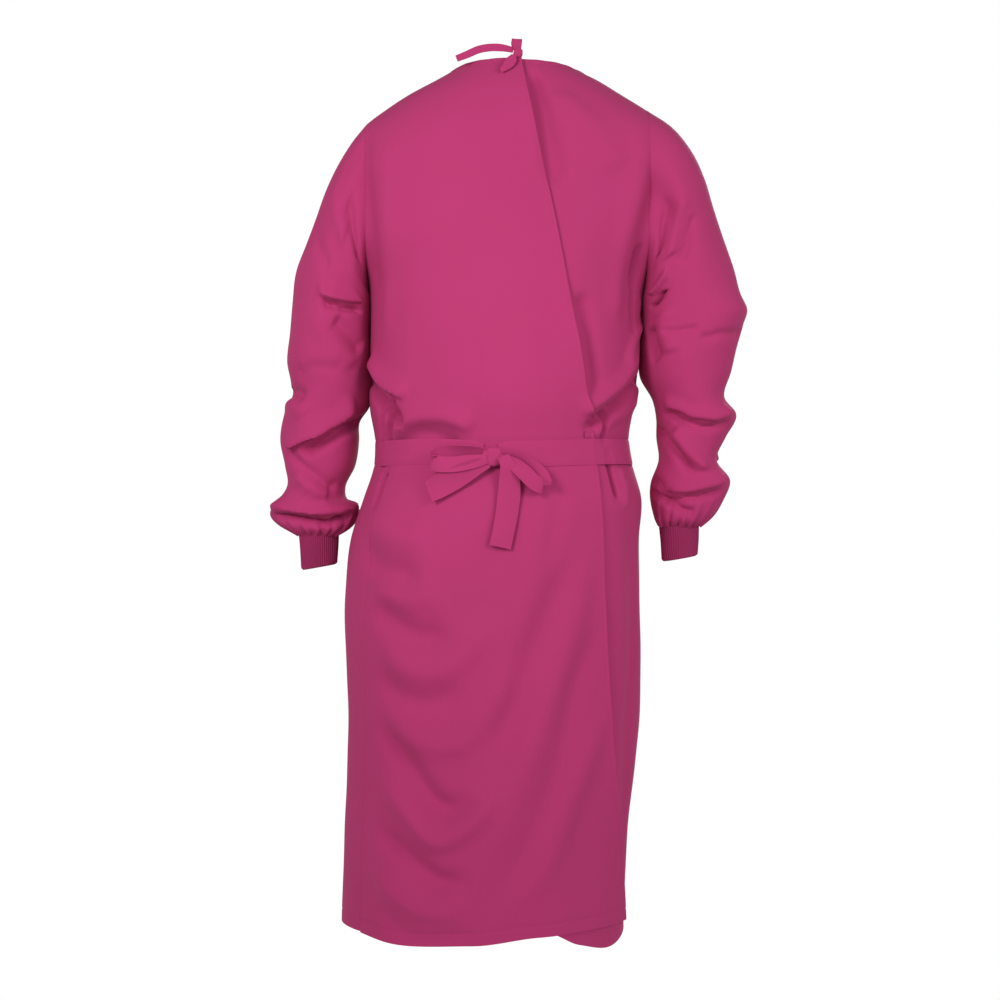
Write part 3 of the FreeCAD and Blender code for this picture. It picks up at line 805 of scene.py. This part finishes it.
def cut_armhole(thing, plane, side):
    """Cuts the cloth away outside one armhole's plane and returns the points of the cut."""
    mesh = bmesh.new()
    mesh.from_mesh(thing.data)
    above = {v for v in mesh.verts if v.co.z > ARMHOLE_FLOOR and v.co.x * side > 0}
    edges = [e for e in mesh.edges if all(v in above for v in e.verts)]
    faces = [f for f in mesh.faces if all(v in above for v in f.verts)]
    bmesh.ops.bisect_plane(mesh, geom=list(above) + edges + faces, dist=0.02 * MM,
                           plane_co=(plane, 0, 0), plane_no=(side, 0, 0), clear_outer=True)
    rim = [v.co.copy() for v in mesh.verts
           if abs(v.co.x - plane) < 0.05 * MM and v.co.z > ARMHOLE_FLOOR and v.is_boundary]
    mesh.to_mesh(thing.data)
    mesh.free()
    return [(p.y, p.z) for p in rim]


def thicken(thing, thick):
    """Turns an open cloth surface into a closed one, inwards."""
    solid = thing.modifiers.new("thickness", "SOLIDIFY")
    solid.thickness = thick
    solid.offset = -1
    depsgraph = bpy.context.evaluated_depsgraph_get()
    mesh = bpy.data.meshes.new_from_object(thing.evaluated_get(depsgraph))
    thing.modifiers.clear()
    thing.data = mesh
    mesh.set_sharp_from_angle(angle=math.radians(50))


def open_cloth(name, grid, flat):
    """An open sheet of cloth from a grid, with the flat pattern as its UV map."""
    rows, columns, _ = grid.shape
    return mesh_object(name, grid.reshape(-1, 3), grid_faces(rows, columns), flat.reshape(-1, 2))


def body_panels():
    """The front and the two back panels, and the armhole rims that they leave."""
    edge = (0.0012, 0.003, 0.006)
    front_grid, front_flat = panel_grid(RIGHT_SEAM, LEFT_SEAM + 360,
                                        column_places(90, 300, 132, edge), "front")
    left_grid, left_flat = panel_grid(LEFT_SEAM, lap_angle,
                                      column_places(LEFT_SEAM, 40, 112, edge), "outer")
    right_grid, right_flat = panel_grid(hidden_angle, RIGHT_SEAM,
                                        column_places(-10, 90, 112, edge), "inner")
    front_grid = seam_groove(front_grid, 1, 1)
    left_grid = seam_groove(left_grid, 1, 0)
    right_grid = seam_groove(right_grid, 0, 1)
    grids = {"front": front_grid, "left": left_grid, "right": right_grid}
    front = open_cloth("front_panel_cloth", front_grid, front_flat)
    left = open_cloth("left_back_cloth", left_grid, left_flat)
    right = open_cloth("right_back_cloth", right_grid, right_flat)
    left_rim = cut_armhole(front, LEFT_ARMHOLE, -1) + cut_armhole(left, LEFT_ARMHOLE, -1)
    right_rim = cut_armhole(front, RIGHT_ARMHOLE, 1) + cut_armhole(right, RIGHT_ARMHOLE, 1)
    for thing, node in ((front, "front_panel"), (left, "left_back_panel"), (right, "right_back_panel")):
        thicken(thing, CLOTH)
        finish_piece(thing, "gown", CLOTH_LOOK, "cloth", node)
    return grids, left_rim, right_rim, (front, left, right)


# ---------------------------------------------------------------- sleeves and cuffs

RING_COUNT = 176
AROUND = 128


def arm_lines(base, flat, keep, folds):
    """The folds on one half of a sleeve as lines on its flat pattern."""
    lines = []
    seen, spots = base[:, keep][..., [0, 2]].reshape(-1, 2), flat[:, keep].reshape(-1, 2)
    for points, width, rise, *slope in folds:
        steep, lean = slope or UPRIGHT
        path = smooth_line(np.array(points) * MM, 24)
        nearest = ((seen[None] - path[:, None]) ** 2).sum(2).argmin(1)
        line = smooth_line(spots[nearest][::3], 70)
        lines.append((line, width * MM, rise * MM, steep, lean, ARM_FADE))
    return lines


def armhole_seam(rim, turn, plane, side):
    """The armhole's cut edge at every angle round the sleeve, a little wider and further in."""
    rim = np.array(rim)
    middle, half = (rim[:, 1].max() + rim[:, 1].min()) / 2, np.ptp(rim[:, 1]) / 2
    spread = np.arctan2(rim[:, 0] / np.ptp(rim[:, 0]) * 2, (rim[:, 1] - middle) / half)
    order = np.argsort(spread)
    y, z = (np.interp(turn, spread[order], rim[order, k], period=2 * math.pi) for k in (0, 1))
    seam = np.stack([np.full(len(turn), plane), y, z], axis=-1)
    return seam + unit(seam - seam.mean(axis=0)) * 0.35 * MM - np.array([side * 1.2 * MM, 0, 0])


def sleeve_grid(rings, rim, side, folds, wrist_level):
    """The outer face of a sleeve, from the armhole's own rim down to the gathered wrist."""
    table = np.array(rings)
    mids = (table[:, 0:2] + table[:, 2:4]) / 2
    reach = path_lengths(mids)
    along = np.linspace(0, reach[-1], RING_COUNT)
    outer_x, outer_z, inner_x, inner_z, deep, forward = (
        through(reach, table[:, k], along)[:, None] for k in range(6))
    turn = np.linspace(-math.pi, math.pi, AROUND, endpoint=False)[None]
    x = (outer_x + inner_x) / 2 + (outer_x - inner_x) / 2 * np.cos(turn)
    z = (outer_z + inner_z) / 2 + (outer_z - inner_z) / 2 * np.cos(turn)
    y = forward + deep * np.sin(turn)
    base = np.stack([x, y, z], axis=-1)
    seam = armhole_seam(rim, turn[0], base[0, 0, 0], side)
    fade = (1 - step_up(0, 0.16, along))[:, None, None]
    base = base + (seam - base[0])[None] * fade
    flat = np.stack([side * turn * ARM_PATTERN_RADIUS + 0 * along[:, None],
                     -along[:, None] + 0 * turn], axis=-1)
    back_folds, front_folds = folds
    lines = arm_lines(base, flat, turn[0] < 0, back_folds)
    lines += arm_lines(base, flat, turn[0] > 0, front_folds)
    shift = wrapped_shift(flat, ARM_PATTERN_RADIUS, lines)
    across, down, normal = grid_directions(base, closed=True)
    outward = unit(base - base.mean(axis=1, keepdims=True))
    normal = normal * np.sign((normal * outward).sum(-1, keepdims=True))
    ripple = 0.9 * np.sin(3 * turn + 26 * along[:, None]) * np.sin(41 * along[:, None] + turn)
    ripple = ripple + 0.5 * np.sin(5 * turn - 37 * along[:, None] + 1)
    gather = bell(z, wrist_level, 0.024) * (
        1.5 * np.sin(19 * turn + 1.2 * np.sin(2 * turn)) + 0.7 * np.sin(31 * turn + 1))
    free = step_up(0.0, 0.05, along)[:, None]
    height = shift[..., 0] * free + (ripple * free + gather) * MM
    grid = base + normal * height[..., None]
    grid = grid + free[..., None] * (across * shift[..., 1:2] * side - down * shift[..., 2:3])
    return grid, flat


def sleeve(name, rings, rim, side, folds, cuff):
    """One sleeve, in place of its CAD node."""
    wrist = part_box(cuff)[1].z
    grid, flat = sleeve_grid(rings, rim, side, folds, wrist)
    thing = shell(f"{name}_cloth", grid, CLOTH, closed=True, flip=side > 0, uvs=flat)
    return finish_piece(thing, None, CLOTH_LOOK, "cloth", name)


def rib_cuff(name, body, side):
    """A rib-knit cuff: a snug tube with raised ribs, a rolled end and a slight lean."""
    low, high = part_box(name)
    centre = (np.array(low) + np.array(high)) / 2
    radius = (high.x - low.x) / 2
    ribs, per_rib, rows = 52, 6, 34
    turn = np.linspace(0, 2 * math.pi, ribs * per_rib, endpoint=False)[None]
    share = np.linspace(0, 1, rows)[:, None]
    level = high.z + 0.004 - share * (high.z - low.z + 0.004)
    rib = 0.55 * MM * np.cos(ribs * turn) * step_up(0, 0.05, share) * (1 - step_up(0.93, 1, share))
    body_of = radius + 1.2 * MM - 3.4 * MM * share + 0.5 * MM * np.sin(3 * turn + 4 * share)
    end = -2.2 * MM * step_up(0.95, 1.0, share) ** 2
    ring = body_of + rib + end - 1.6 * MM * (1 - step_up(0, 0.07, share))
    lean = 1.6 * MM * share * side
    grid = np.stack([centre[0] + lean + ring * np.cos(turn), centre[1] + ring * np.sin(turn),
                     level + 4.0 * MM * np.cos(turn) * share], axis=-1)
    flat = np.stack([turn * radius + 0 * share, level + 0 * turn], axis=-1)
    thing = shell(f"{name}_knit", grid, 1.5 * MM, closed=True, uvs=flat)
    finish_piece(thing, body, KNIT_LOOK, "knit", name)
    return thing


# ---------------------------------------------------------------- tapes, ties and stitches


def ribbon(name, spine, across, widths, wide, thick=1.4 * MM, cup=0.0, count=56):
    """A strip of tape along a smooth spine. across gives its width direction at each point."""
    line = smooth_line(spine, count)
    share = np.linspace(0, len(across) - 1, count)
    steer = np.stack([through(np.arange(len(across)), np.array(across, float)[:, k], share)
                      for k in range(3)], axis=1)
    run = unit(np.gradient(line, axis=0))
    steer = unit(steer - run * (steer * run).sum(1, keepdims=True))
    normal = unit(np.cross(run, steer))
    half = through(np.arange(len(widths)), widths, np.linspace(0, len(widths) - 1, count)) / 2
    place = np.linspace(-1, 1, wide)
    grid = line[:, None] + steer[:, None] * (half[:, None] * place[None])[..., None]
    bow = cup * half[:, None] * (1 - place[None] ** 2)
    grid = grid + normal[:, None] * bow[..., None]
    reach = path_lengths(line)
    flat = np.stack([half[:, None] * place[None], reach[:, None] + 0 * place[None]], axis=-1)
    return shell(name, grid, -thick, uvs=flat), grid


THREAD_THICK = 0.3 * MM
THREAD_SIDES = 6
# where the rings of one stitch sit along it, and how full each one is
THREAD_RINGS = ((0, 0.3), (0.2, 0.9), (0.8, 0.9), (1, 0.3))


def stitches(name, line, outward, body, pitch=3.2 * MM, long=2.3 * MM):
    """A row of thread stitches along a line on the cloth, each a small rounded bar."""
    line, outward = np.asarray(line, float), unit(np.asarray(outward, float))
    reach = path_lengths(line)
    starts = np.arange(pitch / 2, reach[-1] - long, pitch)
    corner = np.radians(np.arange(0, 360, 360 // THREAD_SIDES))
    vertices, faces = [], []
    for start in starts:
        for share, swell in THREAD_RINGS:
            at = start + share * long
            spot = np.array([np.interp(at, reach, line[:, k]) for k in range(3)])
            ahead = np.array([np.interp(at + 0.3 * MM, reach, line[:, k]) for k in range(3)])
            out = unit(np.array([np.interp(at, reach, outward[:, k]) for k in range(3)]))
            side = unit(np.cross(ahead - spot, out))
            lift = spot + out * THREAD_THICK * (0.1 if 0 < share < 1 else -0.3)
            vertices += [lift + (side * math.cos(c) + out * math.sin(c)) * THREAD_THICK / 2 * swell
                         for c in corner]
        last = len(vertices) - THREAD_SIDES
        first = last - (len(THREAD_RINGS) - 1) * THREAD_SIDES
        for ring in range(first, last, THREAD_SIDES):
            for k in range(THREAD_SIDES):
                a, b = ring + k, ring + (k + 1) % THREAD_SIDES
                faces.append((a, b, b + THREAD_SIDES, a + THREAD_SIDES))
        faces.append(tuple(first + k for k in reversed(range(THREAD_SIDES))))
        faces.append(tuple(last + k for k in range(THREAD_SIDES)))
    thing = mesh_object(name, vertices, faces)
    return finish_piece(thing, body, THREAD_LOOK, "thread")


# how much nearer, squared, an inner layer must be to be taken before the outer panel
OUTER_FIRST = 20 * MM * MM


def skin_point(grids, angle, level):
    """A point on the outermost cloth near an angle and a level, found on the panels' grids."""
    target = body_point(np.array(angle), np.array(level))
    best, spot = 1e9, None
    for name, grid in grids.items():
        away = ((grid - target) ** 2).sum(-1) - (OUTER_FIRST if name == "left" else 0)
        row, column = np.unravel_index(away.argmin(), away.shape)
        if away[row, column] < best:
            best, spot = away[row, column], grid[row, column]
    return spot


def outer_height(angle, level):
    """How far the outermost layer of cloth stands off the plain body, folds left out."""
    angle = np.asarray(angle, float)
    signed = np.where(angle > 180, angle - 360, angle)
    covered = (signed > LEFT_SEAM) & (signed < lap_angle(level))
    return np.where(covered, outer_lift(signed, level), 0.0)


def waist_bands():
    """The tie's two bands, lying flat round the waist from the bow to the middle of the front."""
    for side, first, last in (("left", -8.0, -179.6), ("right", -2.0, 179.6)):
        angle = np.linspace(first, last, 190)[None]
        share = np.linspace(0, 1, 11)[:, None]
        pinch = 1 - 0.30 * bell(angle, -5, 6)
        level = BELT_TOP - belt_sag(angle)
        level = level - (BELT_TOP - BELT_BASE) * (0.5 + (share - 0.5) * pinch)
        base = body_point(angle, level)
        normal = unit(base * [1, 1, 0] - [BODY_MIDDLE, 0, 0])
        spots = np.stack([np.radians(angle) * PATTERN_RADIUS + 0 * level, level], axis=-1)
        folds = np.maximum(wrapped_shift(spots, PATTERN_RADIUS, BODY_LINES)[..., 0], -1 * MM)
        edge = 4 * (share - 0.5) ** 2
        soft = 0.2 * MM + folds - 0.9 * MM * edge ** 3 + outer_height(angle, level)
        soft = soft + body_ripple(angle, level) + 0.5 * MM * step_up(-30, -8, angle)
        grid = base + normal * soft[..., None]
        flat = np.stack([np.radians(angle) * 0.17 + 0 * share, level], axis=-1)
        if side == "left":
            grid, flat = grid[:, ::-1], flat[:, ::-1]
        thing = shell(f"{side}_waist_tape", grid, 0.9 * MM, uvs=flat)
        finish_piece(thing, "gown", TAPE_LOOK, "tape", f"{side}_waist_band")
        out = grid_directions(grid)[2]
        for row, label in ((1, "upper"), (-2, "lower")):
            stitches(f"{side}_waist_{label}_stitching", grid[row], out[row], "gown")


def knot(name, body, centre, size, tilt, wraps):
    """A tied knot: a soft block with the folds of the tape running over it."""
    rows, columns = 40, 56
    up = np.linspace(-math.pi / 2, math.pi / 2, rows)[:, None]
    turn = np.linspace(0, 2 * math.pi, columns, endpoint=False)[None]
    power = 0.62
    round_up = np.sign(np.cos(up)) * np.abs(np.cos(up)) ** power
    x = round_up * np.sign(np.cos(turn)) * np.abs(np.cos(turn)) ** power
    y = round_up * np.sign(np.sin(turn)) * np.abs(np.sin(turn)) ** power
    z = np.sign(np.sin(up)) * np.abs(np.sin(up)) ** power + 0 * turn
    slant = x * math.cos(tilt) + z * math.sin(tilt)
    crease = 1 - 0.13 * np.abs(np.sin(wraps * slant * math.pi / 2 + 0.4)) ** 6
    crease = crease + 0.05 * np.sin(5 * x + 3 * z)
    grid = np.stack([x * crease, y * crease, z * (0.96 + 0.05 * np.cos(3 * x))], axis=-1)
    grid = grid * np.array(size) / 2 + np.array(centre)
    grid = grid[::-1]
    faces = grid_faces(rows, columns, closed=True)
    thing = mesh_object(name + "_tape", grid.reshape(-1, 3), faces,
                        np.stack([turn * 0.01 + 0 * up, up * 0.01 + 0 * turn], axis=-1).reshape(-1, 2))
    mesh = bmesh.new()
    mesh.from_mesh(thing.data)
    bmesh.ops.remove_doubles(mesh, verts=mesh.verts, dist=0.02 * MM)
    bmesh.ops.recalc_face_normals(mesh, faces=mesh.faces)
    mesh.to_mesh(thing.data)
    mesh.free()
    return finish_piece(thing, body, TAPE_LOOK, "tape", name)


def tie_piece(name, body, spine, across, widths, cup=0.0, wide=9, end_stitch=None):
    """A tail or loop of tape on its body, with a stitch line across its end if it has one."""
    thing, grid = ribbon(f"{name}_tape", spine, across, widths, cup=cup, wide=wide)
    finish_piece(thing, body, TAPE_LOOK, "tape", name)
    if end_stitch:
        out = grid_directions(grid)[2]
        row = grid[end_stitch]
        facing = out[end_stitch] * (-1 if out[end_stitch][:, 1].mean() > 0 else 1)
        stitches(f"{name}_end_stitching", row + facing * 0.7 * MM, facing, body, 2.6 * MM, 1.9 * MM)
    return thing


def waist_bow():
    """The half-tied bow at the back of the waist."""
    knot("waist_knot", "gown", (-0.0300, -0.1415, -0.5510), (0.0280, 0.0120, 0.0250), 0.3, 2.6)
    tie_piece("waist_left_loop", "gown",
              ((-0.036, -0.142, -0.545), (-0.058, -0.139, -0.543), (-0.085, -0.135, -0.545),
               (-0.102, -0.134, -0.549), (-0.1085, -0.137, -0.556), (-0.101, -0.143, -0.560),
               (-0.084, -0.146, -0.561), (-0.060, -0.148, -0.558), (-0.038, -0.147, -0.554)),
              ((0, -0.5, 1), (0, -0.8, 1), (0.1, -0.7, 1), (0.2, -0.3, 1), (0.2, 0.0, 1),
               (0.2, 0.2, 1), (0.1, 0.3, 1), (0.1, 0.2, 1), (0.0, 0.0, 1)),
              (0.010, 0.015, 0.018, 0.020, 0.021, 0.021, 0.021, 0.018, 0.012), cup=0.12, wide=11)
    tie_piece("waist_left_tail", "waist_left_end",
              ((-0.036, -0.1455, -0.558), (-0.055, -0.1480, -0.566), (-0.078, -0.1455, -0.578),
               (-0.098, -0.1400, -0.588), (-0.114, -0.1345, -0.5965)),
              ((0.3, 0, 1), (0.45, -0.2, 1), (0.55, -0.30, 1), (0.6, -0.25, 1), (0.75, -0.1, 1)),
              (0.014, 0.024, 0.029, 0.031, 0.031), cup=0.08, end_stitch=-5)
    tie_piece("waist_right_loop", "gown",
              ((-0.024, -0.142, -0.546), (-0.008, -0.139, -0.548), (0.008, -0.139, -0.555),
               (0.023, -0.142, -0.566), (0.034, -0.147, -0.580), (0.036, -0.153, -0.590),
               (0.026, -0.156, -0.586), (0.012, -0.156, -0.573), (-0.004, -0.153, -0.560),
               (-0.022, -0.148, -0.552)),
              ((0.1, -0.5, 1), (0.2, -0.8, 1), (0.45, -0.8, 1), (0.7, -0.5, 1), (0.9, 0.0, 0.8),
               (0.9, 0.1, 0.8), (0.7, 0.3, 1), (0.6, 0.2, 1), (0.4, 0.1, 1), (0.2, 0.0, 1)),
              (0.010, 0.014, 0.019, 0.021, 0.021, 0.020, 0.021, 0.020, 0.016, 0.010), cup=0.18, wide=11)
    tie_piece("waist_right_tail", "waist_right_end",
              ((-0.017, -0.1520, -0.5505), (-0.012, -0.1530, -0.560), (-0.009, -0.1505, -0.580),
               (-0.011, -0.1505, -0.615), (-0.016, -0.1555, -0.645), (-0.021, -0.1580, -0.668)),
              ((1, 0.1, 0.3), (1, 0, 0.2), (1, 0.05, 0.05), (1, 0.12, 0.0), (1, 0.1, -0.1),
               (1, 0.05, -0.25)),
              (0.014, 0.024, 0.029, 0.029, 0.028, 0.028), cup=0.10, end_stitch=-4)


def neck_ties():
    """The small tie at the back of the neck."""
    centre = (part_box("neck_knot")[0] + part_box("neck_knot")[1]) / 2
    x, y, z = centre
    knot("neck_knot", "gown", (x, y - 0.0008, z - 0.002), (0.0130, 0.0115, 0.0125), 0.5, 1.8)
    tie_piece("neck_loop", "gown",
              ((x - 0.001, y + 0.001, z + 0.002), (x - 0.0025, y + 0.003, z + 0.0095),
               (x - 0.0020, y + 0.003, z + 0.0145), (x - 0.0015, y, z + 0.0165),
               (x - 0.0015, y - 0.004, z + 0.0145), (x - 0.0015, y - 0.005, z + 0.0085),
               (x, y - 0.003, z + 0.002)),
              ((1, 0.1, -0.1), (1, 0.2, -0.1), (1, 0.3, 0.1), (1, 0.2, 0), (1, 0.1, -0.15),
               (1, 0, -0.1), (1, 0, 0)),
              (0.0075, 0.0120, 0.0140, 0.0135, 0.0140, 0.0125, 0.0085), wide=9)
    tie_piece("neck_long_tail", "neck_long_end",
              ((x - 0.0062, y - 0.0005, z + 0.0022), (x - 0.018, y, z + 0.0050),
               (x - 0.034, y, z + 0.0060), (x - 0.052, y + 0.001, z + 0.0035),
               (x - 0.068, y + 0.002, z - 0.0030), (x - 0.082, y + 0.002, z - 0.0085)),
              ((0.1, 0, 1), (0.1, 0, 1), (0, 0.05, 1), (-0.2, 0, 1), (-0.4, 0, 1), (-0.55, 0, 1)),
              (0.0070, 0.0095, 0.0100, 0.0100, 0.0096, 0.0085), wide=7)
    tie_piece("neck_short_tail", "neck_short_end",
              ((x - 0.0055, y - 0.0095, z - 0.0065), (x - 0.0075, y - 0.0110, z - 0.011),
               (x - 0.0115, y - 0.0135, z - 0.0175), (x - 0.017, y - 0.016, z - 0.024),
               (x - 0.023, y - 0.017, z - 0.029)),
              ((1, 0, -0.3), (0.9, -0.1, -0.4), (0.8, 0, -0.6), (0.7, 0, -0.7), (0.7, 0.1, -0.7)),
              (0.0065, 0.0130, 0.0130, 0.0090, 0.0055), wide=9)


BELOW_NECK_ROW = 5
BINDING_STEPS = 420


def neck_binding(grids):
    """The folded tape on the neck edge, from the free edge all round to the hidden one."""
    order = ("left", "front", "right")
    edge = np.concatenate([grids[name][0, ::-1] for name in order])
    below = np.concatenate([grids[name][BELOW_NECK_ROW, ::-1] for name in order])
    keep = np.concatenate([[True], np.linalg.norm(np.diff(edge, axis=0), axis=1) > 0.4 * MM])
    edge, below = edge[keep], below[keep]
    edge = smooth_line(edge, BINDING_STEPS)
    below = smooth_line(below, BINDING_STEPS)
    up = unit(edge - below)
    run = unit(np.gradient(edge, axis=0))
    out = unit(np.cross(up, run))
    out = out * np.sign((out * (edge - edge.mean(0)) * [1, 1, 0]).sum(1, keepdims=True))
    profile = ((-6.6, 0.1), (-6.0, 0.55), (-4, 0.8), (-1, 0.9), (0.4, 0.7), (0.9, 0.1),
               (0.4, -0.9), (-1, -1.3), (-4, -1.4), (-6.4, -1.3), (-6.6, -0.6))
    crinkle = 0.18 * np.sin(np.linspace(0, 150, len(edge))) * MM
    grid = np.stack([edge + up * (a * MM) + out * ((b * MM) + (crinkle[:, None] if b > 0 else 0))
                     for a, b in profile], axis=1)
    reach = np.linspace(0, 0.55, len(edge))[:, None]
    over = np.linspace(0, 16 * MM, len(profile))[None]
    flat = np.stack([reach + 0 * over, over + 0 * reach], axis=-1)
    facing = (grid_directions(grid)[2][:, 5] * up).sum(1).mean()
    thing = shell("neck_binding_tape", grid, 0.5 * MM, flip=bool(facing < 0), uvs=flat)
    finish_piece(thing, "gown", TAPE_LOOK, "tape", "neck_binding")
    line = edge - up * 5.2 * MM + out * 0.72 * MM
    stitches("neck_binding_stitching", line, out, "gown", 2.9 * MM, 2.0 * MM)


def seam_stitching(grids):
    """Stitch rows along the hem, and down the outer panel's free edge from below the binding."""
    for name, grid in grids.items():
        out = grid_directions(grid)[2]
        stitches(f"{name}_hem_stitching", grid[HEM_STITCH_ROW], out[HEM_STITCH_ROW], "gown")
    left = grids["left"]
    out = grid_directions(left)[2]
    place = np.s_[LAP_STITCH_TOP_ROW:, LAP_STITCH_COLUMN]
    stitches("lap_edge_stitching", left[place], out[place], "gown")


TACK_LONG = 0.010
TAB_LEVEL = -0.5205


def surface_frame(grids, angle, level):
    """A spot on the outer cloth, the way out from it, and the way along it to the right."""
    spot = skin_point(grids, angle, level)
    normal = unit(np.array([spot[0] - BODY_MIDDLE, spot[1] * 1.4, 0]))
    return spot, normal, unit(np.cross(UP, normal))


def bar_tacks(grids):
    """The bar tacks beside the tie's slots, each a tight zigzag of thread."""
    spots = (("left_slot_tack", -0.1755, -0.5745, 0.3), ("right_slot_tack", 0.1215, -0.552, -0.2))
    share = np.linspace(-0.5, 0.5, 13)[:, None]
    for name, across, level, lean in spots:
        angle = float(angle_at(np.array(across), np.array(level)))
        spot, normal, side = surface_frame(grids, angle, level)
        zig = np.where(np.arange(len(share)) % 2, 0.9, -0.9)[:, None] * MM
        line = spot + normal * 0.6 * MM + (UP + side * lean) * share * TACK_LONG + side * zig
        thing, _ = ribbon(f"{name}_thread", line, [normal * 0.2 + side] * 3, (1.1 * MM,) * 3,
                          thick=0.9 * MM, count=80, wide=5)
        finish_piece(thing, "gown", THREAD_LOOK, "thread", name)


def edge_tab(grids):
    """The small stitched patch on the free edge, above the waist tie."""
    angle = float(lap_angle(np.array(TAB_LEVEL))) - 2.6
    spot, normal, side = surface_frame(grids, angle, TAB_LEVEL)
    across = np.linspace(-6.5, 6.5, 15)[None] * MM
    high = np.linspace(4.2, -4.2, 11)[:, None] * MM
    swell = 1.5 * MM - 0.25 * MM * (np.abs(across) > 5 * MM) + 0.2 * MM * np.sin(across * 900)
    grid = spot + side * (across + 0 * high)[..., None] + UP * (high + across * 0.08)[..., None]
    grid = grid + normal * (swell + 0 * high)[..., None]
    flat = np.stack([across + 0 * high, high + 0 * across], axis=-1)
    patch = shell("lap_edge_tab_cloth", grid, 0.9 * MM, uvs=flat)
    finish_piece(patch, "gown", CLOTH_LOOK, "cloth", "lap_edge_tab")
    inset = [grid[1, 1:-1], grid[1:-1, -2], grid[-2, 1:-1][::-1], grid[1:-1, 1][::-1]]
    line = np.concatenate(inset)
    stitches("lap_edge_tab_stitching", line, np.tile(normal, (len(line), 1)), "gown",
             2.2 * MM, 1.6 * MM)


# ---------------------------------------------------------------- the whole gown


def build():
    """Makes every piece of the gown."""
    camera()
    lamps()
    surroundings()
    plain_floor()
    grids, left_rim, right_rim, panels = body_panels()
    left = sleeve("left_sleeve", LEFT_ARM, left_rim, -1,
                  (LEFT_ARM_BACK_FOLDS, LEFT_ARM_FRONT_FOLDS), "left_cuff")
    right = sleeve("right_sleeve", RIGHT_ARM, right_rim, 1,
                   (RIGHT_ARM_BACK_FOLDS, RIGHT_ARM_FRONT_FOLDS), "right_cuff")
    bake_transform(left)
    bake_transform(right)
    rib_cuff("left_cuff", "left_arm", 1)
    rib_cuff("right_cuff", "right_arm", 1)
    neck_binding(grids)
    waist_bands()
    waist_bow()
    neck_ties()
    seam_stitching(grids)
    bar_tacks(grids)
    edge_tab(grids)


build()
